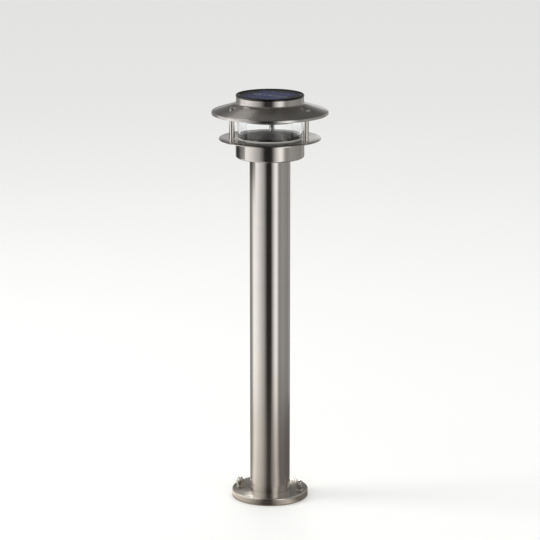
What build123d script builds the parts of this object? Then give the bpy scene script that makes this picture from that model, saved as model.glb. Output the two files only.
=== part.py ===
from build123d import *
import os
from math import cos, hypot, radians, sin, tan

# Solar garden torch: a brushed stainless post on a round flange, a cup and a thin ring at its top,
# a clear glass cylinder between three pillars, a wide spun canopy, and a solar module that drops
# into the canopy's neck. The origin is the centre of the base's underside, +Z is up, and the
# person looking at the torch stands at -Y. All sizes are in millimetres.

# Driving sizes of the post and its foot
post_radius = 30.0
post_wall = 1.5
post_length = 518.5
base_radius = 57.4
base_height = 11.0
base_sheet = 1.2
base_edge_radius = 2.5
base_plate_thickness = 4.0
base_plate_play = 0.5
cover_post_play = 0.4
bolt_edge_margin = 10.9
bolt_hole_radius = 3.5
bolt_line_angle = -9.0
sleeve_radius = 6.0
washer_radius = 5.5
washer_hole_radius = 3.2
washer_thickness = 1.6
washer_chamfer = 0.25
cap_nut_flats = 10.0
cap_nut_hex_height = 6.0
cap_nut_height = 12.0
cap_nut_dome_inset = 0.6
cap_nut_tip_flat = 0.3
cap_nut_dome_band = 0.2
cap_nut_chamfer = 0.5
cap_nut_bore_radius = 2.6
cap_nut_bore_depth = 9.0

# Driving sizes of the cup, the ring and the light cone
drum_height = 28.1
drum_radius = 50.5
drum_sheet = 1.2
drum_edge_radius = 2.4
ring_rim_run = 7.7
ring_bore_inset = 1.0
ring_sheet = 1.0
ring_flat_margin = 1.0
ring_rim_drop = 0.8
collar_height = 5.0
collar_sheet = 1.0
collar_play = 0.1
cone_height = 25.9
cone_sheet = 0.8
cone_play = 0.8
plug_height = 16.5
drum_screw_circle_radius = 18.0
drum_screw_radius = 2.5
drum_screw_grip = 12.0
drum_screw_head_radius = 4.5
drum_screw_head_height = 3.0

# Driving sizes of the lantern between the ring and the canopy
glass_radius = 47.5
glass_wall = 3.0
glass_height = 39.3
glass_edge = 0.4
gasket_thickness = 1.5
gasket_margin = 0.6
pillar_radius = 4.0
pillar_circle_radius = 62.5
pillar_thread_radius = 2.0
pillar_thread_depth = 12.0
screw_play = 0.05
screw_hole_play = 0.2
seat_thickness = 1.5
seat_edge_margin = 0.1

# Driving sizes of the canopy
canopy_radius = 85.8
canopy_sheet = 1.0
canopy_slope = 17.5
canopy_lip_height = 4.2
canopy_rim_radius = 1.4
neck_radius = 49.7
neck_fillet_radius = 4.5
neck_height = 16.6
dimple_radius = 6.0
dimple_edge_depth = 0.3
dome_head_radius = 4.0
dome_head_height = 3.2
pan_head_radius = 3.8
pan_head_height = 2.3
screw_grip = 8.0

# Driving sizes of the solar module
bezel_overhang = 0.5
bezel_flange = 3.0
bezel_edge_radius = 0.9
bezel_bore_chamfer = 0.8
bezel_skirt_thickness = 1.5
bezel_skirt_height = 3.5
cover_recess = 1.0
cover_play = 0.2
cover_pocket_depth = 0.6
cover_rim = 1.2
backing_thickness = 1.6
cell_size = 61.0
cell_gap = 1.6
cell_thickness = 0.3
cell_turn = -30.5
tab_length = 5.4
tab_play = 0.1
tab_height = 0.42
tab_count = 7
solder_dot_radius = 1.1
solder_dot_beyond = 5.2
solder_dot_height = 0.3
housing_neck_play = 0.7
housing_seat_play = 0.7
housing_rim_wall = 1.6
housing_wall = 1.8
housing_floor = 2.0
housing_depth = 35.0
housing_step_gap = 0.8
ledge_width = 3.4
seal_radius = 1.0
seal_drop = 10.0
seal_groove_play = 0.1
neck_seal_play = 0.3

# Driving sizes of the parts inside the solar module
battery_radius = 7.25
battery_length = 50.5
battery_y = 20.0
battery_door_play = 0.65
battery_nub_radius = 2.7
battery_nub_height = 1.0
bay_end_space = 2.35
bay_side_space = 1.95
bay_wall = 1.2
bay_wall_over_axis = 4.0
contact_width = 8.0
contact_over_axis = 5.5
contact_sheet = 0.4
contact_button_radius = 2.2
door_thickness = 1.5
door_gap = 0.1
door_margin = 0.9
door_pad_play = 0.6
door_pad_thickness = 1.2
door_lip_height = 1.0
door_lip_length = 12.0
door_lip_width = 1.2
door_hinge_gap = 0.4
hinge_margin = 3.0
hinge_barrel_radius = 1.6
hinge_floor_gap = 0.2
hinge_pin_radius = 0.75
hinge_pin_play = 0.05
hinge_pin_inset = 0.2
door_knuckle_half = 13.2
knuckle_gap = 0.5
knuckle_length = 10.0
board_edge_play = 1.4
board_thickness = 1.6
board_boss_radius = 2.7
board_boss_inset = 4.0
board_battery_gap = 5.75
pilot_depth = 8.0
small_screw_radius = 1.2
small_screw_length = 7.0
small_head_radius = 2.3
small_head_height = 1.6
switch_y = -22.0
switch_travel = 4.0
knob_length = 6.0
knob_width = 3.4
knob_drop = 2.0
slider_flange_length = 12.5
slider_flange_width = 5.6
slider_flange_thickness = 1.4
slider_play = 0.3
switch_wall = 1.6
switch_height = 7.0
lens_radius = 7.9
lens_play = 0.2
lens_drop = 2.6
lens_flange_width = 1.3
lens_flange_thickness = 1.0
lens_wall = 1.2
lens_edge_radius = 1.5
led_board_margin = 2.9
led_board_width = 14.0
led_board_thickness = 1.2
led_boss_gap = 1.0
led_boss_radius = 2.4
led_boss_height = 5.0
led_screw_length = 4.5
led_pilot_depth = 4.0
led_radius = 1.5
led_height = 2.4
led_circle_radius = 3.6
led_count = 3
lead_radius = 0.6
lead_bend = 1.6
panel_lead_x = -24.0
panel_lead_step = 3.0
panel_lead_half_pitch = 3.0
led_lead_x = 9.5
led_lead_step = -2.5
led_lead_half_pitch = 2.5
battery_lead_step = 1.5
chip_size = (10.0, 8.0, 2.0)
chip_place = (-10.0, -14.0)
connector_size = (8.0, 5.0, 5.0)
connector_place = (-16.0, 12.0)
coil_radius = 4.0
coil_height = 4.5
coil_place = (12.0, -12.0)
capacitor_radius = 3.0
capacitor_height = 6.0
capacitor_place = (18.0, 8.0)

# Radii that follow from the driving sizes, from the inside outwards
bolt_circle_radius = base_radius - bolt_edge_margin
post_bore_radius = post_radius - post_wall
drum_bore_radius = drum_radius - drum_sheet
glass_bore_radius = glass_radius - glass_wall
ring_bore_radius = glass_bore_radius - ring_bore_inset
ring_flat_radius = pillar_circle_radius + pillar_radius + ring_flat_margin
ring_radius = ring_flat_radius + ring_rim_run
seat_bore_radius = glass_bore_radius - gasket_margin
dimple_edge_radius = pillar_circle_radius + dimple_radius
seat_radius = dimple_edge_radius + seat_edge_margin
neck_bore_radius = neck_radius - canopy_sheet
bezel_radius = neck_radius + bezel_overhang
housing_upper_radius = neck_bore_radius - housing_neck_play
housing_lower_radius = seat_bore_radius - housing_seat_play
lower_cavity_radius = housing_lower_radius - housing_wall
bezel_skirt_radius = housing_upper_radius - housing_rim_wall
bezel_bore_radius = bezel_skirt_radius - bezel_skirt_thickness
upper_cavity_radius = bezel_skirt_radius - ledge_width
disc_radius = bezel_bore_radius - cover_play
board_radius = lower_cavity_radius - board_edge_play
board_boss_circle = board_radius - board_boss_inset
cap_nut_dome_radius = cap_nut_flats / 2 - cap_nut_dome_inset
cap_nut_dome_wall = cap_nut_height - cap_nut_hex_height - cap_nut_dome_band
cap_nut_dome_fillet = min(cap_nut_dome_radius - cap_nut_tip_flat, cap_nut_dome_wall)
lens_flange_radius = lens_radius + lens_flange_width
led_boss_x = lens_flange_radius + led_boss_gap + led_boss_radius

# Heights that follow from the driving sizes, from the ground upwards
base_top_z = base_height
nut_seat_z = base_top_z + washer_thickness
drum_bottom_z = base_plate_thickness + post_length
drum_floor_z = drum_bottom_z + drum_sheet
ring_under_z = drum_bottom_z + drum_height
ring_top_z = ring_under_z + ring_sheet
glass_bottom_z = ring_top_z + gasket_thickness
glass_top_z = glass_bottom_z + glass_height
seat_under_z = glass_top_z + gasket_thickness
seat_top_z = seat_under_z + seat_thickness
dimple_floor_z = seat_top_z + canopy_sheet
dimple_edge_z = dimple_floor_z + dimple_edge_depth
neck_top_z = dimple_floor_z + neck_height
housing_step_z = seat_top_z + housing_step_gap
housing_bottom_z = neck_top_z - housing_depth
floor_z = housing_bottom_z + housing_floor
door_top_z = housing_bottom_z - door_gap
battery_z = door_top_z + door_pad_thickness + battery_door_play + battery_radius
board_z = battery_z + battery_radius + board_battery_gap
board_top_z = board_z + board_thickness
led_board_z = floor_z + led_boss_height
led_board_top_z = led_board_z + led_board_thickness
ledge_z = neck_top_z - bezel_skirt_height
cell_bottom_z = ledge_z + backing_thickness
cover_top_z = neck_top_z + bezel_flange - cover_recess

# Plan sizes of the battery bay and its hinge
bay_length = battery_length + 2 * bay_end_space
bay_width = 2 * (battery_radius + bay_side_space)
hinge_y = battery_y + bay_width / 2 + hinge_margin
hinge_drop = hinge_barrel_radius + hinge_floor_gap
hinge_z = housing_bottom_z - hinge_drop
knuckle_outer_x = door_knuckle_half + knuckle_gap + knuckle_length
hinge_pin_length = 2 * (knuckle_outer_x - hinge_pin_inset)

# Directions that the fasteners and the cells are set out by
slope_tangent = tan(radians(canopy_slope))
pillar_angles = (90.0, 210.0, 330.0)
bolt_angles = (bolt_line_angle, bolt_line_angle + 180.0)
cell_across = (-sin(radians(cell_turn)), cos(radians(cell_turn)))
cell_along = (cos(radians(cell_turn)), sin(radians(cell_turn)))


def canopy_z(radius):
    """height of the canopy's sloping top at a radius, with the dimple's outer edge as reference"""
    return dimple_edge_z - (radius - dimple_edge_radius) * slope_tangent


def ring_spots(radius, angles):
    """centres at a radius and at each of some angles about the torch's axis"""
    return [(radius * cos(radians(a)), radius * sin(radians(a))) for a in angles]


pillar_spots = ring_spots(pillar_circle_radius, pillar_angles)
bolt_spots = ring_spots(bolt_circle_radius, bolt_angles)
drum_screw_spots = ring_spots(drum_screw_circle_radius, pillar_angles)
board_boss_spots = ring_spots(board_boss_circle, pillar_angles)
led_spots = ring_spots(led_circle_radius, [90.0 + 360.0 * k / led_count for k in range(led_count)])


def save(builder, name):
    """label a finished piece and write its file"""
    builder.part.label = name
    export_step(builder.part, "parts/" + name + ".step")


os.makedirs("parts", exist_ok=True)

# Base plate: a steel disc at the bottom, which the post stands on
with BuildPart() as base_plate:
    with BuildSketch():
        Circle(base_radius - base_sheet - base_plate_play)
        with Locations(bolt_spots):
            Circle(bolt_hole_radius, mode=Mode.SUBTRACT)
    extrude(amount=base_plate_thickness)
save(base_plate, "base_plate")

# Base cover: a drawn stainless shell over the plate, with a rounded top edge
with BuildPart() as base_cover:
    with BuildSketch():
        Circle(base_radius)
    extrude(amount=base_height)
    fillet(base_cover.faces().sort_by(Axis.Z)[-1].edges(), base_edge_radius)
    with BuildSketch():
        Circle(base_radius - base_sheet)
    extrude(amount=base_height - base_sheet, mode=Mode.SUBTRACT)
    with BuildSketch():
        Circle(post_radius + cover_post_play)
        with Locations(bolt_spots):
            Circle(bolt_hole_radius)
    extrude(amount=base_height, mode=Mode.SUBTRACT)
save(base_cover, "base_cover")

# Bolt sleeves: they carry the nuts' clamping load from the cover to the plate
with BuildPart() as bolt_sleeves:
    with BuildSketch(Plane.XY.offset(base_plate_thickness)):
        with Locations(bolt_spots):
            Circle(sleeve_radius)
            Circle(bolt_hole_radius, mode=Mode.SUBTRACT)
    extrude(amount=base_height - base_sheet - base_plate_thickness)
save(bolt_sleeves, "bolt_sleeves")

# Washers under the cap nuts
with BuildPart() as base_washers:
    with BuildSketch(Plane.XY.offset(base_top_z)):
        with Locations(bolt_spots):
            Circle(washer_radius)
            Circle(washer_hole_radius, mode=Mode.SUBTRACT)
    extrude(amount=washer_thickness)
    chamfer(base_washers.edges().group_by(Axis.Z)[-1].filter_by(GeomType.CIRCLE), washer_chamfer)
save(base_washers, "base_washers")

# Cap nuts: a hexagon with a domed, closed top and a blind thread
with BuildPart() as cap_nuts:
    with BuildSketch(Plane.XY.offset(nut_seat_z)):
        with Locations(bolt_spots):
            RegularPolygon(cap_nut_flats / 2, 6, major_radius=False)
    extrude(amount=cap_nut_hex_height)
    chamfer(cap_nuts.faces().sort_by(Axis.Z)[-2:].edges(), cap_nut_chamfer)
    with BuildSketch(Plane.XY.offset(nut_seat_z)):
        with Locations(bolt_spots):
            Circle(cap_nut_dome_radius)
    extrude(amount=cap_nut_height)
    fillet(cap_nuts.faces().sort_by(Axis.Z)[-2:].edges(), cap_nut_dome_fillet)
    with BuildSketch(Plane.XY.offset(nut_seat_z)):
        with Locations(bolt_spots):
            Circle(cap_nut_bore_radius)
    extrude(amount=cap_nut_bore_depth, mode=Mode.SUBTRACT)
save(cap_nuts, "cap_nuts")

# Post: a straight tube from the base plate to the cup
with BuildPart() as post_tube:
    with BuildSketch(Plane.XY.offset(base_plate_thickness)):
        Circle(post_radius)
        Circle(post_bore_radius, mode=Mode.SUBTRACT)
    extrude(amount=drum_bottom_z - base_plate_thickness)
save(post_tube, "post_tube")

# Post plug: a disc welded into the post's top, tapped for the cup's screws
with BuildPart() as post_plug:
    with BuildSketch(Plane.XY.offset(drum_bottom_z - plug_height)):
        Circle(post_bore_radius)
        with Locations(drum_screw_spots):
            Circle(drum_screw_radius + screw_play, mode=Mode.SUBTRACT)
    extrude(amount=plug_height)
save(post_plug, "post_plug")

# Drum: the open cup on the post, with a rounded bottom edge and three screw holes in its floor
with BuildPart() as drum:
    with BuildSketch(Plane.XY.offset(drum_bottom_z)):
        Circle(drum_radius)
    extrude(amount=ring_under_z - drum_bottom_z)
    fillet(drum.faces().sort_by(Axis.Z)[0].edges(), drum_edge_radius)
    with BuildSketch(Plane.XY.offset(drum_floor_z)):
        Circle(drum_bore_radius)
    extrude(amount=ring_under_z - drum_floor_z, mode=Mode.SUBTRACT)
    with BuildSketch(Plane.XY.offset(drum_bottom_z)):
        with Locations(drum_screw_spots):
            Circle(drum_screw_radius + screw_hole_play)
    extrude(amount=drum_sheet, mode=Mode.SUBTRACT)
save(drum, "drum")

# Drum screws: three pan-head screws that hold the cup to the post plug
with BuildPart() as drum_screws:
    with BuildSketch(Plane.XY.offset(drum_floor_z)):
        with Locations(drum_screw_spots):
            Circle(drum_screw_head_radius)
    extrude(amount=drum_screw_head_height)
    fillet(drum_screws.edges().group_by(Axis.Z)[-1], drum_screw_head_height / 3)
    with BuildSketch(Plane.XY.offset(drum_floor_z)):
        with Locations(drum_screw_spots):
            Circle(drum_screw_radius)
    extrude(amount=-(drum_sheet + drum_screw_grip))
save(drum_screws, "drum_screws")

# Reflector cone: a shallow spun cone that stands on the cup's floor and spreads the light
cone_radius = drum_bore_radius - cone_play
with BuildPart() as reflector_cone:
    with BuildSketch(Plane.XZ):
        with BuildLine():
            cone_drop = cone_sheet * hypot(cone_radius, cone_height) / cone_radius
            cone_foot = cone_sheet * hypot(cone_radius, cone_height) / cone_height
            Polyline(
                (0, drum_floor_z + cone_height),
                (cone_radius, drum_floor_z),
                (cone_radius - cone_foot, drum_floor_z),
                (0, drum_floor_z + cone_height - cone_drop),
                close=True,
            )
        make_face()
    revolve(axis=Axis.Z)
save(reflector_cone, "reflector_cone")

# Lower ring: a thin disc with a flat seat for the glass and a rim that curves down,
# and a short collar under it that centres it in the cup
with BuildPart() as lower_ring:
    with BuildSketch(Plane.XZ):
        with BuildLine():
            rim_end = (ring_radius, ring_top_z - ring_rim_drop)
            top = Line((ring_bore_radius, ring_top_z), (ring_flat_radius, ring_top_z))
            rim = TangentArc((ring_flat_radius, ring_top_z), rim_end, tangent=(1, 0))
            edge = Line(rim @ 1, (rim @ 1) - Vector(0, ring_sheet))
            under = TangentArc((ring_flat_radius, ring_under_z), edge @ 1, tangent=(1, 0))
            Polyline((ring_flat_radius, ring_under_z), (ring_bore_radius, ring_under_z),
                     (ring_bore_radius, ring_top_z))
        make_face()
    revolve(axis=Axis.Z)
    with BuildSketch(Plane.XY.offset(ring_under_z)):
        Circle(drum_bore_radius - collar_play)
        Circle(drum_bore_radius - collar_play - collar_sheet, mode=Mode.SUBTRACT)
    extrude(amount=-collar_height)
    with BuildSketch(Plane.XY.offset(ring_under_z)):
        with Locations(pillar_spots):
            Circle(pillar_thread_radius + screw_hole_play)
    extrude(amount=ring_sheet, mode=Mode.SUBTRACT)
save(lower_ring, "lower_ring")

# Gaskets and glass: a clear cylinder clamped between two flat rubber rings
for name, low in (("glass_gasket_lower", ring_top_z), ("glass_gasket_upper", glass_top_z)):
    with BuildPart() as gasket:
        with BuildSketch(Plane.XY.offset(low)):
            Circle(glass_radius + gasket_margin)
            Circle(glass_bore_radius - gasket_margin, mode=Mode.SUBTRACT)
        extrude(amount=gasket_thickness)
    save(gasket, name)

with BuildPart() as glass_cylinder:
    with BuildSketch(Plane.XY.offset(glass_bottom_z)):
        Circle(glass_radius)
        Circle(glass_bore_radius, mode=Mode.SUBTRACT)
    extrude(amount=glass_height)
    chamfer(glass_cylinder.edges().filter_by(GeomType.CIRCLE), glass_edge)
save(glass_cylinder, "glass_cylinder")

# Pillars: three round rods between the ring and the seat plate, tapped at both ends
for name, spot in zip(("pillar_back", "pillar_left", "pillar_right"), pillar_spots):
    with BuildPart() as pillar:
        with BuildSketch(Plane.XY.offset(ring_top_z)):
            with Locations(spot):
                Circle(pillar_radius)
        extrude(amount=seat_under_z - ring_top_z)
        for low in (ring_top_z, seat_under_z - pillar_thread_depth):
            with BuildSketch(Plane.XY.offset(low)):
                with Locations(spot):
                    Circle(pillar_thread_radius + screw_play)
            extrude(amount=pillar_thread_depth, mode=Mode.SUBTRACT)
    save(pillar, name)

# Pillar screws: pan heads under the ring
with BuildPart() as pillar_screws:
    with BuildSketch(Plane.XY.offset(ring_under_z - pan_head_height)):
        with Locations(pillar_spots):
            Circle(pan_head_radius)
    extrude(amount=pan_head_height)
    fillet(pillar_screws.edges().group_by(Axis.Z)[0], pan_head_height / 2)
    with BuildSketch(Plane.XY.offset(ring_under_z)):
        with Locations(pillar_spots):
            Circle(pillar_thread_radius)
    extrude(amount=ring_sheet + screw_grip)
save(pillar_screws, "pillar_screws")

# Seat plate: the flat ring inside the canopy that the pillars and the glass press against
with BuildPart() as seat_plate:
    with BuildSketch(Plane.XY.offset(seat_under_z)):
        Circle(seat_radius)
        Circle(seat_bore_radius, mode=Mode.SUBTRACT)
        with Locations(pillar_spots):
            Circle(pillar_thread_radius + screw_hole_play, mode=Mode.SUBTRACT)
    extrude(amount=seat_thickness)
save(seat_plate, "seat_plate")

# Canopy: one spun sheet, from the straight neck through a hollow curve and a shallow cone to a
# short lip, with three pressed dimples whose flat floors take the pillars' screws
rim_corner_z = canopy_z(canopy_radius)
outer_corners = [
    (neck_radius, neck_top_z),
    (neck_radius, canopy_z(neck_radius)),
    (canopy_radius, rim_corner_z),
    (canopy_radius, rim_corner_z - canopy_lip_height),
]
slope_sheet = canopy_sheet / cos(radians(canopy_slope))
inner_corners = [
    (neck_bore_radius, neck_top_z),
    (neck_bore_radius, canopy_z(neck_bore_radius) - slope_sheet),
    (canopy_radius - canopy_sheet, canopy_z(canopy_radius - canopy_sheet) - slope_sheet),
    (canopy_radius - canopy_sheet, rim_corner_z - canopy_lip_height),
]
inner_neck_fillet = neck_fillet_radius + canopy_sheet
inner_rim_fillet = canopy_rim_radius - canopy_sheet

with BuildPart() as canopy_core:
    with BuildSketch(Plane.XZ):
        with BuildLine():
            FilletPolyline(*outer_corners, radius=[neck_fillet_radius, canopy_rim_radius])
            Polyline(outer_corners[-1], (0, outer_corners[-1][1]), (0, neck_top_z), outer_corners[0])
        make_face()
    revolve(axis=Axis.Z)

with BuildPart() as dimple_cups:
    with BuildSketch(Plane.XY.offset(seat_top_z)):
        with Locations(pillar_spots):
            Circle(dimple_radius)
    extrude(amount=neck_height)
    with BuildSketch(Plane.XY.offset(dimple_floor_z)):
        with Locations(pillar_spots):
            Circle(dimple_radius - canopy_sheet)
    extrude(amount=neck_height, mode=Mode.SUBTRACT)
    add(canopy_core.part, mode=Mode.INTERSECT)

with BuildPart() as canopy:
    with BuildSketch(Plane.XZ):
        with BuildLine():
            FilletPolyline(*outer_corners, radius=[neck_fillet_radius, canopy_rim_radius])
            Line(outer_corners[-1], inner_corners[-1])
            FilletPolyline(*inner_corners, radius=[inner_neck_fillet, inner_rim_fillet])
            Line(outer_corners[0], inner_corners[0])
        make_face()
    revolve(axis=Axis.Z)
    with BuildSketch(Plane.XY.offset(seat_top_z)):
        with Locations(pillar_spots):
            Circle(dimple_radius)
    extrude(amount=neck_height, mode=Mode.SUBTRACT)
    add(dimple_cups.part)
    with BuildSketch(Plane.XY.offset(seat_top_z)):
        with Locations(pillar_spots):
            Circle(pillar_thread_radius + screw_hole_play)
    extrude(amount=canopy_sheet, mode=Mode.SUBTRACT)
save(canopy, "canopy")

# Canopy screws: bright domed heads in the dimples
with BuildPart() as canopy_screws:
    with BuildSketch(Plane.XY.offset(dimple_floor_z)):
        with Locations(pillar_spots):
            Circle(dome_head_radius)
    extrude(amount=dome_head_height)
    fillet(canopy_screws.edges().group_by(Axis.Z)[-1], dome_head_height * 0.9)
    with BuildSketch(Plane.XY.offset(dimple_floor_z)):
        with Locations(pillar_spots):
            Circle(pillar_thread_radius)
    extrude(amount=-(canopy_sheet + seat_thickness + screw_grip))
save(canopy_screws, "canopy_screws")

# Module housing: a black moulded cup that hangs in the neck, with the battery bay, the bosses for
# both boards, the switch slot, the lens hole and the door's knuckles
seal_z = neck_top_z - seal_drop
seal_centre_radius = neck_bore_radius - neck_seal_play - seal_radius
bay_wall_top_z = battery_z + bay_wall_over_axis
slot_half = switch_travel / 2 + knob_length / 2 + slider_play
led_boss_spots = [(-led_boss_x, 0), (led_boss_x, 0)]

with BuildPart() as module_housing:
    with BuildSketch(Plane.XZ):
        with BuildLine():
            Polyline(
                (0, housing_bottom_z),
                (housing_lower_radius, housing_bottom_z),
                (housing_lower_radius, housing_step_z),
                (housing_upper_radius, housing_step_z),
                (housing_upper_radius, neck_top_z),
                (bezel_skirt_radius, neck_top_z),
                (bezel_skirt_radius, ledge_z),
                (upper_cavity_radius, ledge_z),
                (upper_cavity_radius, housing_step_z + housing_wall),
                (lower_cavity_radius, housing_step_z + housing_wall),
                (lower_cavity_radius, floor_z),
                (0, floor_z),
                close=True,
            )
        make_face()
    revolve(axis=Axis.Z)
    with BuildSketch(Plane.XY.offset(seal_z - seal_radius - seal_groove_play)):
        Circle(housing_upper_radius)
        Circle(seal_centre_radius - seal_radius, mode=Mode.SUBTRACT)
    extrude(amount=2 * (seal_radius + seal_groove_play), mode=Mode.SUBTRACT)
    with BuildSketch(Plane.XY.offset(floor_z)):
        with Locations((0, battery_y)):
            Rectangle(bay_length + 2 * bay_wall, bay_width + 2 * bay_wall)
    extrude(amount=bay_wall_top_z - floor_z)
    with BuildSketch(Plane.XY.offset(floor_z)):
        with Locations(board_boss_spots):
            Circle(board_boss_radius)
    extrude(amount=board_z - floor_z)
    with BuildSketch(Plane.XY.offset(floor_z)):
        with Locations(led_boss_spots):
            Circle(led_boss_radius)
    extrude(amount=led_boss_height)
    with BuildSketch(Plane.YZ):
        with Locations((hinge_y, hinge_z)):
            Circle(hinge_barrel_radius)
        with Locations((hinge_y, hinge_z)):
            Rectangle(2 * hinge_barrel_radius, hinge_drop, align=(Align.CENTER, Align.MIN))
    extrude(amount=knuckle_outer_x, both=True)
    with BuildSketch(Plane.YZ):
        with Locations((hinge_y, hinge_z)):
            Rectangle(2 * hinge_barrel_radius, 2 * hinge_barrel_radius, align=(Align.CENTER, Align.CENTER))
        with Locations((hinge_y, hinge_z)):
            Rectangle(2 * hinge_barrel_radius, hinge_drop, align=(Align.CENTER, Align.MIN))
    extrude(amount=door_knuckle_half + knuckle_gap, both=True, mode=Mode.SUBTRACT)
    with BuildSketch(Plane.XY.offset(housing_bottom_z)):
        with Locations((0, battery_y)):
            Rectangle(bay_length, bay_width)
    extrude(amount=bay_wall_top_z - housing_bottom_z, mode=Mode.SUBTRACT)
    with BuildSketch(Plane.XY.offset(housing_bottom_z)):
        with Locations((0, switch_y)):
            Rectangle(2 * slot_half, knob_width + 2 * slider_play)
        Circle(lens_radius + lens_play)
    extrude(amount=housing_floor, mode=Mode.SUBTRACT)
    with BuildSketch(Plane.XY.offset(board_z)):
        with Locations(board_boss_spots):
            Circle(small_screw_radius + screw_play)
    extrude(amount=-pilot_depth, mode=Mode.SUBTRACT)
    with BuildSketch(Plane.XY.offset(led_board_z)):
        with Locations(led_boss_spots):
            Circle(small_screw_radius + screw_play)
    extrude(amount=-led_pilot_depth, mode=Mode.SUBTRACT)
    with BuildSketch(Plane.YZ.offset(-hinge_pin_length / 2)):
        with Locations((hinge_y, hinge_z)):
            Circle(hinge_pin_radius + hinge_pin_play / 2)
    extrude(amount=hinge_pin_length, mode=Mode.SUBTRACT)
save(module_housing, "module_housing")

# Module seal: the rubber ring in the housing's groove
with BuildPart() as module_seal:
    with BuildSketch(Plane.XZ):
        with Locations((seal_centre_radius, seal_z)):
            Circle(seal_radius)
    revolve(axis=Axis.Z)
save(module_seal, "module_seal")

# Bezel: the glossy black ring on the neck, with a skirt that is pressed into the housing
with BuildPart() as bezel_ring:
    with BuildSketch(Plane.XY.offset(neck_top_z)):
        Circle(bezel_radius)
    extrude(amount=bezel_flange)
    fillet(bezel_ring.faces().sort_by(Axis.Z)[-1].edges(), bezel_edge_radius)
    with BuildSketch(Plane.XY.offset(neck_top_z)):
        Circle(bezel_skirt_radius)
    extrude(amount=-bezel_skirt_height)
    with BuildSketch(Plane.XY.offset(ledge_z)):
        Circle(bezel_bore_radius)
    extrude(amount=bezel_skirt_height + bezel_flange, mode=Mode.SUBTRACT)
    bore_edges = bezel_ring.edges().group_by(Axis.Z)[-1].filter_by(GeomType.CIRCLE)
    chamfer(bore_edges.sort_by(SortBy.RADIUS)[0], bezel_bore_chamfer)
save(bezel_ring, "bezel_ring")

# Panel stack: a black backing disc, two half cells, the tabs in the gap between them,
# one solder dot, and a clear cover with a rim that stands on the backing
half_cell = (cell_size - cell_gap) / 2
cell_offset = (cell_gap + half_cell) / 2
cell_centres = [(s * cell_offset * cell_across[0], s * cell_offset * cell_across[1]) for s in (-1, 1)]

with BuildPart() as panel_backing:
    with BuildSketch(Plane.XY.offset(ledge_z)):
        Circle(disc_radius)
    extrude(amount=backing_thickness)
save(panel_backing, "panel_backing")

with BuildPart() as solar_cells:
    with BuildSketch(Plane.XY.offset(cell_bottom_z)):
        with Locations(cell_centres):
            Rectangle(cell_size, half_cell, rotation=cell_turn)
    extrude(amount=cell_thickness)
save(solar_cells, "solar_cells")

tab_pitch = cell_size / tab_count
tab_places = [tab_pitch * (k - (tab_count - 1) / 2) for k in range(tab_count)]
with BuildPart() as cell_tabs:
    with BuildSketch(Plane.XY.offset(cell_bottom_z)):
        with Locations([(t * cell_along[0], t * cell_along[1]) for t in tab_places]):
            Rectangle(tab_length, cell_gap - 2 * tab_play, rotation=cell_turn)
    extrude(amount=tab_height)
    dot_place = cell_size / 2 + solder_dot_beyond
    with BuildSketch(Plane.XY.offset(cell_bottom_z)):
        with Locations((dot_place * cell_along[0], dot_place * cell_along[1])):
            Circle(solder_dot_radius)
    extrude(amount=solder_dot_height)
save(cell_tabs, "cell_tabs")

with BuildPart() as panel_cover:
    with BuildSketch(Plane.XY.offset(cell_bottom_z)):
        Circle(disc_radius)
    extrude(amount=cover_top_z - cell_bottom_z)
    with BuildSketch(Plane.XY.offset(cell_bottom_z)):
        Circle(disc_radius - cover_rim)
    extrude(amount=cover_pocket_depth, mode=Mode.SUBTRACT)
save(panel_cover, "panel_cover")

# Battery: one rechargeable AA cell on its side, with its positive button towards +X
battery_can = battery_length - battery_nub_height
with BuildPart() as battery:
    with BuildSketch(Plane.YZ.offset(-battery_length / 2)):
        with Locations((battery_y, battery_z)):
            Circle(battery_radius)
    extrude(amount=battery_can)
    fillet(battery.edges().filter_by(GeomType.CIRCLE), battery_radius / 15)
    with BuildSketch(Plane.YZ.offset(battery_length / 2)):
        with Locations((battery_y, battery_z)):
            Circle(battery_nub_radius)
    extrude(amount=-battery_nub_height)
save(battery, "battery")

# Battery contacts: a sheet on each end wall of the bay with a button that presses on the cell
contact_reach = bay_length / 2 - contact_sheet - battery_length / 2
contact_top_z = battery_z + contact_over_axis
with BuildPart() as battery_contacts:
    for side in (-1, 1):
        with BuildSketch(Plane.YZ.offset(side * bay_length / 2)):
            with Locations((battery_y, floor_z)):
                Rectangle(contact_width, contact_top_z - floor_z, align=(Align.CENTER, Align.MIN))
        extrude(amount=-side * contact_sheet)
        with BuildSketch(Plane.YZ.offset(side * (bay_length / 2 - contact_sheet))):
            with Locations((battery_y, battery_z)):
                Circle(contact_button_radius)
        extrude(amount=-side * contact_reach)
save(battery_contacts, "battery_contacts")

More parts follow.
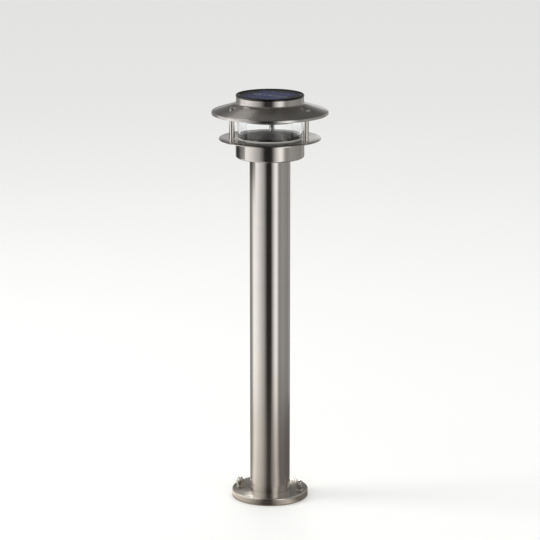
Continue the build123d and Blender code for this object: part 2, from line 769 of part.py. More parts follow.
# Battery door: a flat lid under the housing with a pad that enters the bay, a finger lip and
# one knuckle on the hinge pin
door_low_y = battery_y - bay_width / 2 - door_margin
door_high_y = hinge_y - hinge_barrel_radius - door_hinge_gap
with BuildPart() as battery_door:
    with BuildSketch(Plane.XY.offset(door_top_z)):
        with Locations((0, door_low_y)):
            Rectangle(bay_length + 2 * door_margin, door_high_y - door_low_y,
                      align=(Align.CENTER, Align.MIN))
    extrude(amount=-door_thickness)
    with BuildSketch(Plane.XY.offset(door_top_z)):
        with Locations((0, battery_y)):
            Rectangle(bay_length - 2 * door_pad_play, bay_width - 2 * door_pad_play)
    extrude(amount=door_pad_thickness)
    with BuildSketch(Plane.XY.offset(door_top_z - door_thickness)):
        with Locations((0, door_low_y)):
            Rectangle(door_lip_length, door_lip_width, align=(Align.CENTER, Align.MIN))
    extrude(amount=-door_lip_height)
    with BuildSketch(Plane.YZ):
        with Locations((hinge_y, hinge_z)):
            Circle(hinge_barrel_radius)
        with Locations((door_high_y, door_top_z - door_thickness)):
            Rectangle(hinge_y - door_high_y, hinge_z + hinge_barrel_radius - door_top_z + door_thickness,
                      align=(Align.MIN, Align.MIN))
    extrude(amount=door_knuckle_half, both=True)
    with BuildSketch(Plane.YZ.offset(-door_knuckle_half)):
        with Locations((hinge_y, hinge_z)):
            Circle(hinge_pin_radius + hinge_pin_play)
    extrude(amount=2 * door_knuckle_half, mode=Mode.SUBTRACT)
save(battery_door, "battery_door")

# Door pin: a steel wire through the three knuckles
with BuildPart() as door_pin:
    with BuildSketch(Plane.YZ.offset(-hinge_pin_length / 2)):
        with Locations((hinge_y, hinge_z)):
            Circle(hinge_pin_radius)
    extrude(amount=hinge_pin_length)
save(door_pin, "door_pin")

# Circuit board on its three bosses, with the parts soldered on it and its screws
with BuildPart() as circuit_board:
    with BuildSketch(Plane.XY.offset(board_z)):
        Circle(board_radius)
        with Locations(board_boss_spots):
            Circle(small_screw_radius + screw_hole_play, mode=Mode.SUBTRACT)
    extrude(amount=board_thickness)
save(circuit_board, "circuit_board")

with BuildPart() as board_parts:
    for size, place in ((chip_size, chip_place), (connector_size, connector_place)):
        with BuildSketch(Plane.XY.offset(board_top_z)):
            with Locations(place):
                Rectangle(size[0], size[1])
        extrude(amount=size[2])
    for radius, height, place in (
        (coil_radius, coil_height, coil_place),
        (capacitor_radius, capacitor_height, capacitor_place),
    ):
        with BuildSketch(Plane.XY.offset(board_top_z)):
            with Locations(place):
                Circle(radius)
        extrude(amount=height)
save(board_parts, "board_parts")

# Small screws of both boards
for name, spots, seat_z, length in (
    ("board_screws", board_boss_spots, board_top_z, small_screw_length),
    ("led_screws", led_boss_spots, led_board_top_z, led_screw_length),
):
    with BuildPart() as small_screws:
        with BuildSketch(Plane.XY.offset(seat_z)):
            with Locations(spots):
                Circle(small_head_radius)
        extrude(amount=small_head_height)
        fillet(small_screws.edges().group_by(Axis.Z)[-1], small_head_height / 2)
        with BuildSketch(Plane.XY.offset(seat_z)):
            with Locations(spots):
                Circle(small_screw_radius)
        extrude(amount=-length)
    save(small_screws, name)

# Slide switch: a body on the housing's floor and a slider whose knob shows through the slot,
# drawn in its off place at -X
cavity_half = switch_travel / 2 + slider_flange_length / 2 + slider_play
cavity_half_width = slider_flange_width / 2 + slider_play
cavity_height = slider_flange_thickness + 2 * slider_play
with BuildPart() as switch_body:
    with BuildSketch(Plane.XY.offset(floor_z)):
        with Locations((0, switch_y)):
            Rectangle(2 * (cavity_half + switch_wall), 2 * (cavity_half_width + switch_wall))
    extrude(amount=switch_height)
    with BuildSketch(Plane.XY.offset(floor_z)):
        with Locations((0, switch_y)):
            Rectangle(2 * cavity_half, 2 * cavity_half_width)
    extrude(amount=cavity_height, mode=Mode.SUBTRACT)
save(switch_body, "switch_body")

with BuildPart() as switch_slider:
    with BuildSketch(Plane.XY.offset(floor_z + slider_play)):
        with Locations((-switch_travel / 2, switch_y)):
            Rectangle(slider_flange_length, slider_flange_width)
    extrude(amount=slider_flange_thickness)
    with BuildSketch(Plane.XY.offset(housing_bottom_z - knob_drop)):
        with Locations((-switch_travel / 2, switch_y)):
            Rectangle(knob_length, knob_width)
    extrude(amount=knob_drop + housing_floor + slider_play)
save(switch_slider, "switch_slider")

# Lamp: a small board on two bosses, three diodes under it and a clear lens in the floor's hole
with BuildPart() as led_board:
    with BuildSketch(Plane.XY.offset(led_board_z)):
        Rectangle(2 * (led_boss_x + led_board_margin), led_board_width)
        with Locations(led_boss_spots):
            Circle(small_screw_radius + screw_hole_play, mode=Mode.SUBTRACT)
    extrude(amount=led_board_thickness)
save(led_board, "led_board")

with BuildPart() as leds:
    with BuildSketch(Plane.XY.offset(led_board_z)):
        with Locations(led_spots):
            Circle(led_radius)
    extrude(amount=-led_height)
    fillet(leds.edges().group_by(Axis.Z)[0], led_radius * 0.9)
save(leds, "leds")

lens_bottom_z = housing_bottom_z - lens_drop
with BuildPart() as led_lens:
    with BuildSketch(Plane.XY.offset(lens_bottom_z)):
        Circle(lens_radius)
    extrude(amount=floor_z - lens_bottom_z)
    fillet(led_lens.edges().group_by(Axis.Z)[0], lens_edge_radius)
    with BuildSketch(Plane.XY.offset(floor_z)):
        Circle(lens_flange_radius)
    extrude(amount=lens_flange_thickness)
    with BuildSketch(Plane.XY.offset(floor_z + lens_flange_thickness)):
        Circle(lens_radius - lens_wall)
    extrude(amount=-(floor_z + lens_flange_thickness - lens_bottom_z - lens_wall), mode=Mode.SUBTRACT)
save(led_lens, "led_lens")

# Leads: short insulated wires with two soft bends each, from panel, lamp board and contacts
contact_x = bay_length / 2 - contact_sheet / 2


def lead_pair(x, step, half_pitch, high_z, low_z):
    """top and bottom points of two leads side by side, which step sideways by an amount"""
    return [((x, y, high_z), (x + step, y, low_z)) for y in (-half_pitch, half_pitch)]


battery_routes = []
for side in (-1, 1):
    lead_top = (side * (contact_x - battery_lead_step), battery_y, board_z)
    battery_routes.append((lead_top, (side * contact_x, battery_y, contact_top_z)))
lead_routes = {
    "panel_leads": lead_pair(panel_lead_x, panel_lead_step, panel_lead_half_pitch, ledge_z, board_top_z),
    "led_leads": lead_pair(led_lead_x, led_lead_step, led_lead_half_pitch, board_z, led_board_top_z),
    "battery_leads": battery_routes,
}
for name, routes in lead_routes.items():
    with BuildPart() as leads:
        for high, low in routes:
            drop = (high[2] - low[2]) / 3
            corners = [high, (high[0], high[1], high[2] - drop), (low[0], low[1], low[2] + drop), low]
            with BuildLine():
                lead_path = FilletPolyline(*corners, radius=lead_bend)
            with BuildSketch(Plane(origin=high, z_dir=(0, 0, -1))):
                Circle(lead_radius)
            sweep(path=lead_path)
    save(leads, name)
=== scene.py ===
# %% [markdown]
# # A solar garden torch, dressed for its picture
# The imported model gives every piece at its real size. This lesson loads it as a fixed frame and then
# adds what the eye needs: light that draws metal well, a real finish on every surface, and finer
# meshes where an edge or a pressed shape has to catch that light.
# Lengths are in metres, +Z is up, and the person looking at the torch stands at -Y. Shapes are
# worked out in millimetres and turned to metres when they become a mesh.

import math

import bmesh
import bpy
import numpy as np
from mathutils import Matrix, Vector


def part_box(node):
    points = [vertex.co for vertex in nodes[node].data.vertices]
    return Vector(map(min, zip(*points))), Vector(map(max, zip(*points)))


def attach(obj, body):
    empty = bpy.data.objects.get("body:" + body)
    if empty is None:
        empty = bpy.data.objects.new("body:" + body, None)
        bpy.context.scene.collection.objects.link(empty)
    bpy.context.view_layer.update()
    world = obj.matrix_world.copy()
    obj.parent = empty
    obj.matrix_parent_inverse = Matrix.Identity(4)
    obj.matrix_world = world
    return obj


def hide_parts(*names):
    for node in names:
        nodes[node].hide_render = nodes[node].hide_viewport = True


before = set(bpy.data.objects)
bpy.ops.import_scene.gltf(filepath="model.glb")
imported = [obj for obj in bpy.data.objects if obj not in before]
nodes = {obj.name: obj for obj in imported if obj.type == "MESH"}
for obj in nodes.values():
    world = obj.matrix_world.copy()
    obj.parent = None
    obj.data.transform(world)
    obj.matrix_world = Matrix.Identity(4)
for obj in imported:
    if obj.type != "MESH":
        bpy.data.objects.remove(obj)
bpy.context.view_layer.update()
MM = 0.001

# %% [markdown]
# ## Camera
# The photograph was taken with a long lens from above the torch, so its sides stay almost upright
# and its round edges show as flat ellipses, half as tall at the head as at the foot. That ratio
# gives the camera's place: 3.4 m away and 1.2 m up, a little to the right of the bolts' middle,
# which turns the three pillars as they are seen.

# %% Camera
CAMERA_DISTANCE = 3.4
CAMERA_HEIGHT = 1.175
CAMERA_PITCH = math.radians(13.624)
CAMERA_TURN = math.radians(2.7)
SENSOR_WIDTH = 36.0
FOCAL_LENGTH = 156.5
FARTHEST_VIEW = 100.0

camera_data = bpy.data.cameras.new("camera")
camera_data.sensor_width = SENSOR_WIDTH
camera_data.lens = FOCAL_LENGTH
camera_data.clip_end = FARTHEST_VIEW
camera = bpy.data.objects.new("camera", camera_data)
camera.location = (
    CAMERA_DISTANCE * math.sin(CAMERA_TURN),
    -CAMERA_DISTANCE * math.cos(CAMERA_TURN),
    CAMERA_HEIGHT,
)
camera.rotation_euler = (math.pi / 2 - CAMERA_PITCH, 0.0, CAMERA_TURN)
scene = bpy.context.scene
scene.collection.objects.link(camera)
scene.camera = camera
scene.view_settings.view_transform = "Standard"
print("camera:", FOCAL_LENGTH, "mm lens at", CAMERA_DISTANCE, "m")

# %% [markdown]
# ## Small helpers
# Colours are written as sRGB hex, as a paint chart gives them, and one function turns them to the
# linear values that a shader multiplies light by. Another adds a node with its settings and its
# links, so that a material below reads as a list of what it is made of. A Mix node has sockets for
# each kind of data under the same names, so those for colours are known by their numbers.

# %% Helpers for colours and nodes
COLOUR_MIX = {"data_type": "RGBA"}
COLOUR_PRODUCT = {"data_type": "RGBA", "blend_type": "MULTIPLY"}
MIX_BY, MIX_FROM, MIX_TO = 0, 6, 7


def linear(hex_colour):
    """sRGB hex to linear RGBA: c / 12.92 below 0.04045, else ((c + 0.055) / 1.055) to the power 2.4"""
    parts = np.array([int(hex_colour[k:k + 2], 16) for k in (1, 3, 5)]) / 255.0
    low = parts / 12.92
    high = ((parts + 0.055) / 1.055) ** 2.4
    return (*np.where(parts <= 0.04045, low, high).tolist(), 1.0)


def grey(level):
    """linear RGBA of one brightness"""
    return (level, level, level, 1.0)


def output_in_use(node):
    """the first output that a node's settings leave in use"""
    return next(output for output in node.outputs if output.enabled)


def add_node(tree, kind, settings=None, sockets=None, stops=None):
    """adds one shader node of a kind: settings are its properties, and each socket takes a value, an
    output or a node, whose first output in use is then linked; stops are a colour ramp's places, with
    a grey or a hex colour at each"""
    made = tree.nodes.new("ShaderNode" + kind)
    for key, value in (settings or {}).items():
        setattr(made, key, value)
    for key, value in (sockets or {}).items():
        if isinstance(value, bpy.types.Node):
            value = output_in_use(value)
        if isinstance(value, bpy.types.NodeSocket):
            tree.links.new(value, made.inputs[key])
        else:
            made.inputs[key].default_value = value
    for position, (place, value) in enumerate(stops or ()):
        while len(made.color_ramp.elements) <= position:
            made.color_ramp.elements.new(1.0)
        made.color_ramp.elements[position].position = place
        made.color_ramp.elements[position].color = linear(value) if isinstance(value, str) else grey(value)
    return made


print("helpers: mid grey #808080 is", round(linear("#808080")[0], 3), "in linear light")

# %% [markdown]
# ## World
# The background is pale for the camera and lights matt surfaces evenly from all round. Metal sees
# something else: pale near the horizon and a dim ceiling above, a little darker to the right, because
# a canopy of steel is only as dark and deep as what stands over it. Rays that have passed through
# glass see the pale backdrop near the horizon, as the camera does, and a dark room above it.

# %% World
BACKDROP = "#f0f0ee"
DIFFUSE_LEVEL = 0.92
# the dark room behind glass, and the z of a ray's direction at which it takes over from the backdrop
THROUGH_LEVEL = 0.05
THROUGH_START = 0.1
# height above the horizon as a share of a right angle, and the brightness that metal sees there
CEILING_STOPS = [
    (0.0, 0.50), (0.05, 0.34), (0.10, 0.23), (0.21, 0.24), (0.32, 0.21), (0.45, 0.15), (1.0, 0.12),
]
# direction's x from -1 to 1 as a share from 0 to 1, and how much of that brightness is left
SIDE_STOPS = [(0.0, 1.0), (0.44, 1.1), (0.5, 0.95), (0.56, 0.62), (0.8, 0.7), (1.0, 0.8)]

world = bpy.data.worlds.new("studio")
scene.world = world
world.use_nodes = True
sky = world.node_tree
sky.nodes.clear()
direction = add_node(sky, "TexCoord").outputs["Generated"]
axes = add_node(sky, "SeparateXYZ", None, {0: direction})
rise = add_node(sky, "Math", {"operation": "ARCSINE"}, {0: axes.outputs["Z"]})
rise_share = add_node(sky, "Math", {"operation": "DIVIDE"}, {0: rise, 1: math.pi / 2})
ceiling = add_node(sky, "ValToRGB", None, {"Fac": rise_share}, CEILING_STOPS)
side_share = add_node(sky, "Math", {"operation": "MULTIPLY_ADD"}, {0: axes.outputs["X"], 1: 0.5, 2: 0.5})
side_tint = add_node(sky, "ValToRGB", None, {"Fac": side_share}, SIDE_STOPS)
tinted = add_node(sky, "Mix", COLOUR_PRODUCT, {MIX_BY: 1.0, MIX_FROM: ceiling, MIX_TO: side_tint})
rays = add_node(sky, "LightPath").outputs
without_glass = add_node(sky, "Mix", COLOUR_MIX,
                         {MIX_BY: rays["Is Glossy Ray"], MIX_FROM: grey(DIFFUSE_LEVEL), MIX_TO: tinted})
for_objects = add_node(sky, "Mix", COLOUR_MIX,
                       {MIX_BY: rays["Is Transmission Ray"], MIX_FROM: without_glass,
                        MIX_TO: grey(THROUGH_LEVEL)})
low_down = add_node(sky, "Math", {"operation": "LESS_THAN"}, {0: axes.outputs["Z"], 1: THROUGH_START})
low_through = add_node(sky, "Math", {"operation": "MULTIPLY"},
                       {0: low_down, 1: rays["Is Transmission Ray"]})
seen = add_node(sky, "Math", {"operation": "MAXIMUM"}, {0: rays["Is Camera Ray"], 1: low_through})
sky_colour = add_node(sky, "Mix", COLOUR_MIX,
                      {MIX_BY: seen, MIX_FROM: for_objects, MIX_TO: linear(BACKDROP)})
background = add_node(sky, "Background", None, {"Color": sky_colour})
add_node(sky, "OutputWorld", None, {"Surface": background})
print("world: backdrop", BACKDROP, "and", len(CEILING_STOPS), "ceiling levels")

# %% [markdown]
# ## Surfaces on a grid
# Almost every piece of this torch is turned, spun or pressed, so a surface is a grid: rows follow an
# outline and columns go round. Numpy works out all points at once and a mesh takes them in one go.
# Points that meet on the axis are merged there, and a shell that came out inside out is turned.

# %% Surfaces on a grid
MERGE_DISTANCE = 0.001
SHARP_DEGREES = 35.0


def grid_faces(rows, columns, close_rows=False):
    """quads of a grid that is closed round its columns: corner (i, j) joins (i, j + 1),
    (i + 1, j + 1) and (i + 1, j)"""
    i = np.arange(rows if close_rows else rows - 1)[:, None]
    j = np.arange(columns)[None, :]
    below, beside = (i + 1) % rows, (j + 1) % columns
    return np.stack([i * columns + j, i * columns + beside, below * columns + beside,
                     below * columns + j], axis=-1).reshape(-1, 4)


def outward(points, faces):
    """faces, turned if their signed volume, the sum of p0 . (p1 x p2) over triangles, is negative"""
    p0, p1, p2, p3 = (points[faces[:, k]] for k in range(4))
    volume = np.sum(p0 * (np.cross(p1, p2) + np.cross(p2, p3)))
    return faces[:, ::-1] if volume < 0 else faces


def make_mesh(name, points, faces):
    """a smooth mesh object at the origin from points (n, 3) in metres and quads (m, 4)"""
    mesh = bpy.data.meshes.new(name)
    mesh.vertices.add(len(points))
    mesh.vertices.foreach_set("co", np.asarray(points, np.float32).ravel())
    mesh.loops.add(faces.size)
    mesh.loops.foreach_set("vertex_index", np.ascontiguousarray(faces, np.int32).ravel())
    mesh.polygons.add(len(faces))
    mesh.polygons.foreach_set("loop_start", np.arange(0, faces.size, 4, dtype=np.int32))
    mesh.update(calc_edges=True)
    shell = bmesh.new()
    shell.from_mesh(mesh)
    bmesh.ops.remove_doubles(shell, verts=shell.verts, dist=MERGE_DISTANCE * MM)
    shell.to_mesh(mesh)
    shell.free()
    mesh.shade_smooth()
    mesh.set_sharp_from_angle(angle=math.radians(SHARP_DEGREES))
    made = bpy.data.objects.new(name, mesh)
    scene.collection.objects.link(made)
    return made


print("grid of 3 x 4 points, closed round:", len(grid_faces(3, 4)), "quads")

# %% [markdown]
# ## Floor and light tent
# The floor is one plain sheet of paper, far wider than the view.
# Brushed metal shows what stands round it, so a photographer puts white cloth round such an object
# and leaves a dark slit where the camera looks in. Only reflections see this low tent and the cloth
# on its ground. Its brightness follows the angle round the torch. Three black flags hang on it, and
# towards its top the cloth fades into a dim room.

# %% Floor and light tent
# the floor's half width and the tent's sizes in metres; the cloth on the ground reaches inwards to a
# share of the tent's radius, and both cloths start just above the floor
FLOOR_HALF = 40.0
TENT_RADIUS = 0.5
TENT_HEIGHT = 0.85
TENT_COLUMNS = 180
GROUND_SHARE = 0.117
CLOTH_START = 0.001
# angle from the camera's side in degrees, positive to the right, and the cloth's brightness there
TENT_STOPS = [
    (-180, 0.9), (-170, 0.62), (-160, 0.4), (-135, 0.32), (-118, 0.5), (-106, 1.4), (-94, 1.55),
    (-76, 1.35), (-58, 1.05), (-43, 0.75), (-32, 0.55), (-22, 0.24), (-14, 0.02), (8, 0.02),
    (12, 0.16), (17, 0.5), (25, 1.0), (34, 1.45), (41, 1.45), (48, 0.75), (56, 0.34),
    (73, 0.46), (92, 0.42), (124, 0.34), (156, 0.55), (166, 0.9), (180, 0.9),
]
# the same for the ground cloth, which the lower post and the side of the foot show
GROUND_STOPS = [
    (-180, 0.2), (-120, 0.4), (-104, 1.0), (-88, 1.25), (-70, 0.95), (-50, 0.75), (-38, 0.6),
    (-20, 0.25), (-10, 0.07), (4, 0.06), (14, 0.3), (26, 0.5), (36, 0.8), (44, 0.55),
    (56, 0.18), (75, 0.2), (110, 0.15), (180, 0.18),
]
# black flags, each with its share by the angle and by the height in metres: one on the left at the
# cup's height, one low behind the torch that keeps the foot dark, and one behind its head, which the
# panel's cover mirrors
FLAGS = [
    ([(-150, 0.0), (-140, 1.0), (-89, 1.0), (-83, 0.0)],
     [(0.38, 0.0), (0.41, 1.0), (0.485, 1.0), (0.51, 0.0)]),
    ([(-158, 0.82), (-150, 0.0), (150, 0.0), (158, 0.84)], [(0.55, 1.0), (0.59, 0.0)]),
    ([(-172, 0.9), (-168, 0.7), (-158, 0.5), (-150, 0.0), (146, 0.0), (154, 0.65), (170, 0.65), (174, 0.9)],
     [(0.655, 0.0), (0.67, 1.0), (0.84, 1.0), (0.86, 0.0)]),
]
# heights over which the cloth fades into the dim room above it
FADE_HEIGHTS = [(0.68, 0.0), (0.84, 1.0)]
ROOM_LEVEL = 0.16

floor_points = np.array([(-1, -1, 0), (1, -1, 0), (1, 1, 0), (-1, 1, 0)]) * FLOOR_HALF
floor = make_mesh("floor", floor_points, np.array([[0, 1, 2, 3]]))

turn = np.linspace(0.0, 2 * math.pi, TENT_COLUMNS, endpoint=False)
tent_ring = np.stack([TENT_RADIUS * np.cos(turn), TENT_RADIUS * np.sin(turn)], axis=-1)
tent_points = np.concatenate([
    np.column_stack([tent_ring, np.full(TENT_COLUMNS, CLOTH_START)]),
    np.column_stack([tent_ring, np.full(TENT_COLUMNS, TENT_HEIGHT)]),
])
tent = make_mesh("light_tent", tent_points, grid_faces(2, TENT_COLUMNS))
ground_points = np.concatenate([
    np.column_stack([tent_ring * GROUND_SHARE, np.full(TENT_COLUMNS, CLOTH_START)]),
    np.column_stack([tent_ring, np.full(TENT_COLUMNS, CLOTH_START)]),
])
ground_cloth = make_mesh("ground_cloth", ground_points, grid_faces(2, TENT_COLUMNS))
for cloth in (tent, ground_cloth):
    for ray_kind in ("visible_camera", "visible_diffuse", "visible_shadow", "visible_transmission"):
        setattr(cloth, ray_kind, False)
print("tent:", TENT_RADIUS, "m in radius and", TENT_HEIGHT, "m high, seen by reflections alone")

# %% [markdown]
# ## Stage materials
# The tent's cloth glows by the angle round the torch, which an arctangent of x and -y gives, and a
# colour ramp holds its brightness. The paper is pale where the camera sees it and pure white through
# glass, a painted brightening of what the glass shows. In what it throws back it is a darker warm
# brown: a painted darker reflection in the metal, and painted shade in the light it bounces.

# %% Stage materials
def turn_share(degrees):
    """an angle from -180 to 180 degrees as a share from 0 to 1"""
    return (degrees + 180.0) / 360.0


def glowing_cloth(name, stops, warmth):
    """emission read from (degrees, level) stops by the angle round the torch, less what the flags and
    the fade take away; warmth is the cloth's own colour"""
    material = bpy.data.materials.new(name)
    material.use_nodes = True
    tree = material.node_tree
    tree.nodes.clear()
    place = add_node(tree, "TexCoord").outputs["Object"]
    parts = add_node(tree, "SeparateXYZ", None, {0: place})
    forward = add_node(tree, "Math", {"operation": "MULTIPLY"}, {0: parts.outputs["Y"], 1: -1.0})
    angle = add_node(tree, "Math", {"operation": "ARCTAN2"}, {0: parts.outputs["X"], 1: forward})
    share = add_node(tree, "Math", {"operation": "MULTIPLY_ADD"}, {0: angle, 1: 0.5 / math.pi, 2: 0.5})
    brightest = max(level for _, level in stops)
    shares = [(turn_share(degrees), level / brightest) for degrees, level in stops]
    light = add_node(tree, "ValToRGB", None, {"Fac": share}, shares)
    warm = add_node(tree, "Mix", COLOUR_PRODUCT, {MIX_BY: 1.0, MIX_FROM: light, MIX_TO: linear(warmth)})
    flagged = 0.0
    for flag_angles, flag_heights in FLAGS:
        flag_shares = [(turn_share(degrees), level) for degrees, level in flag_angles]
        across = add_node(tree, "ValToRGB", None, {"Fac": share}, flag_shares)
        up = add_node(tree, "ValToRGB", None, {"Fac": parts.outputs["Z"]}, flag_heights)
        flag = add_node(tree, "Math", {"operation": "MULTIPLY"}, {0: across, 1: up})
        flagged = add_node(tree, "Math", {"operation": "MAXIMUM"}, {0: flagged, 1: flag})
    fade = add_node(tree, "ValToRGB", None, {"Fac": parts.outputs["Z"]}, FADE_HEIGHTS)
    faded = add_node(tree, "Mix", COLOUR_MIX,
                     {MIX_BY: fade, MIX_FROM: warm, MIX_TO: grey(ROOM_LEVEL / brightest)})
    with_flags = add_node(tree, "Mix", COLOUR_MIX,
                          {MIX_BY: flagged, MIX_FROM: faded, MIX_TO: linear("#000000")})
    glow = add_node(tree, "Emission", None, {"Color": with_flags, "Strength": brightest})
    add_node(tree, "OutputMaterial", None, {"Surface": glow})
    return material


tent.data.materials.append(glowing_cloth("white_tent_cloth", TENT_STOPS, "#ffffff"))
ground_cloth.data.materials.append(glowing_cloth("ground_cloth", GROUND_STOPS, "#fff7f0"))

PAPER_ROUGHNESS = 0.9
paper = bpy.data.materials.new("matt_backdrop_paper")
paper.use_nodes = True
paper_tree = paper.node_tree
paper_shader = paper_tree.nodes["Principled BSDF"]
paper_rays = add_node(paper_tree, "LightPath").outputs
# painted light: the paper is a darker warm brown in reflections and bounced light, pale for the camera, and
# pure white through glass
paper_to_camera = add_node(paper_tree, "Mix", COLOUR_MIX,
                           {MIX_BY: paper_rays["Is Camera Ray"], MIX_FROM: linear("#93897c"),
                            MIX_TO: linear("#efefed")})
paper_through_glass = add_node(paper_tree, "Mix", COLOUR_MIX,
                               {MIX_BY: paper_rays["Is Transmission Ray"], MIX_FROM: paper_to_camera,
                                MIX_TO: linear("#ffffff")})
paper_tree.links.new(output_in_use(paper_through_glass), paper_shader.inputs["Base Color"])
paper_shader.inputs["Roughness"].default_value = PAPER_ROUGHNESS
floor.data.materials.append(paper)
print("stage materials: two glowing cloths and", paper.name)

# %% [markdown]
# ## Lamps
# Three soft panels give the matt pieces their shape and the floor a faint shadow. They don't show in
# metal. Two strips do, and they light nothing else: one high behind the torch on the left draws the
# bright fan on the spun canopy, and a small one close behind the post draws the sweep on the foot.
# A narrow beam keeps that one off the post and the cup.

# %% Lamps
WIDE_BEAM = 180.0
NARROW_BEAM = 60.0
# name; turn from the camera's side and rise in degrees, and distance in metres; the panel's width and
# height; the height it is aimed at; watts; beam in degrees; and whether metal sees it, in place of
# the matt pieces
LAMPS = [
    ("key_left", (-88.0, 30.0, 2.4), (0.9, 0.9), 0.4, 20.0, WIDE_BEAM, False),
    ("fill_right", (65.0, 35.0, 2.6), (1.2, 1.2), 0.4, 6.0, WIDE_BEAM, False),
    ("top_back", (170.0, 62.0, 2.6), (1.4, 1.4), 0.4, 8.0, WIDE_BEAM, False),
    ("strip_left", (-140.0, 57.0, 2.4), (0.18, 0.8), 0.4, 5.5, WIDE_BEAM, True),
    ("low_strip", (-170.0, 44.0, 0.66), (0.07, 0.20), 0.0, 0.3, NARROW_BEAM, True),
]


def lamp_place(turn_degrees, rise_degrees, distance, aim_height):
    """a point at a distance from the aim: (sin turn, -cos turn) times cos rise, and sin rise up"""
    turned, raised = math.radians(turn_degrees), math.radians(rise_degrees)
    flat = distance * math.cos(raised)
    return (flat * math.sin(turned), -flat * math.cos(turned), aim_height + distance * math.sin(raised))


for lamp_name, (lamp_turn, lamp_rise, lamp_distance), panel, aim_height, watts, beam, for_metal in LAMPS:
    lamp_data = bpy.data.lights.new(lamp_name, "AREA")
    lamp_data.shape = "RECTANGLE"
    lamp_data.size, lamp_data.size_y = panel
    lamp_data.energy = watts
    lamp_data.spread = math.radians(beam)
    lamp = bpy.data.objects.new(lamp_name, lamp_data)
    lamp.location = lamp_place(lamp_turn, lamp_rise, lamp_distance, aim_height)
    lamp.rotation_euler = (math.pi / 2 - math.radians(lamp_rise), 0.0, math.radians(lamp_turn))
    lamp.visible_glossy = for_metal
    lamp.visible_diffuse = not for_metal
    lamp.visible_camera = False
    lamp.visible_transmission = False
    scene.collection.objects.link(lamp)
print("lamps:", ", ".join(entry[0] for entry in LAMPS))

# %% [markdown]
# ## Starting a finish
# Each finish is one Principled shader with a pattern on Object coordinates, so that a pattern has a
# real size on the piece. Clouds stand for what touches every surface: handling, polish, drying rain.

# %% Starting a finish
NOISE_LOW = 0.3
NOISE_HIGH = 0.7


def start_finish(name, metallic=0.0, ior=None):
    """a new material with its tree and shader; a metal keeps the default IOR"""
    material = bpy.data.materials.new(name)
    material.use_nodes = True
    tree = material.node_tree
    shader = tree.nodes["Principled BSDF"]
    shader.inputs["Metallic"].default_value = metallic
    if ior:
        shader.inputs["IOR"].default_value = ior
    return material, tree, shader


def clouds(tree, patch, detail=3.0):
    """noise on Object coordinates whose patches are about patch millimetres wide"""
    place = add_node(tree, "TexCoord").outputs["Object"]
    return add_node(tree, "TexNoise", None,
                    {"Vector": place, "Scale": 1.0 / (patch * MM), "Detail": detail}).outputs["Fac"]


def shine_between(tree, shader, pattern, roughness):
    """roughness over a range, as the pattern goes from low to high"""
    shine = add_node(tree, "MapRange", None,
                     {"Value": pattern, "From Min": NOISE_LOW, "From Max": NOISE_HIGH,
                      "To Min": roughness[0], "To Max": roughness[1]})
    tree.links.new(shine.outputs[0], shader.inputs["Roughness"])


def tint_and_shine(tree, shader, pattern, hex_colours, roughness):
    """base colour between two hex colours, and roughness over a range, by one pattern"""
    stops = [(NOISE_LOW, hex_colours[0]), (NOISE_HIGH, hex_colours[1])]
    tint = add_node(tree, "ValToRGB", None, {"Fac": pattern}, stops)
    tree.links.new(tint.outputs[0], shader.inputs["Base Color"])
    shine_between(tree, shader, pattern, roughness)


def relief(tree, shader, pattern, depth, strength=0.5):
    """bump of a depth in millimetres where the pattern is high"""
    bump = add_node(tree, "Bump", None, {"Height": pattern, "Strength": strength, "Distance": depth * MM})
    tree.links.new(bump.outputs[0], shader.inputs["Normal"])


def wear(finish, *names):
    """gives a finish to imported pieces, by their nodes' names"""
    for node_name in names:
        nodes[node_name].data.materials.clear()
        nodes[node_name].data.materials.append(finish)
    print(finish.name, "on", ", ".join(names))


# %% [markdown]
# ## Turned 304 stainless
# Post, cup, ring, foot and canopy are AISI 304, ground with a fine belt while they turned. The lines
# run round the axis, so reflections stay sharp from side to side and smear up and down: that is what
# makes the crisp upright stripes. Real lines are about 0.05 mm apart, too fine for the picture, so
# the streaks are drawn 0.5 mm apart and faint, and the shader's anisotropy does the rest.

# %% Turned stainless
STREAK_PITCH = 0.5
STREAK_LENGTH = 90.0
STREAK_DEPTH = 0.004
SMUDGE_WIDTH = 45.0
SMUDGE_SHARE = 0.5
QUARTER_TURN = 0.25


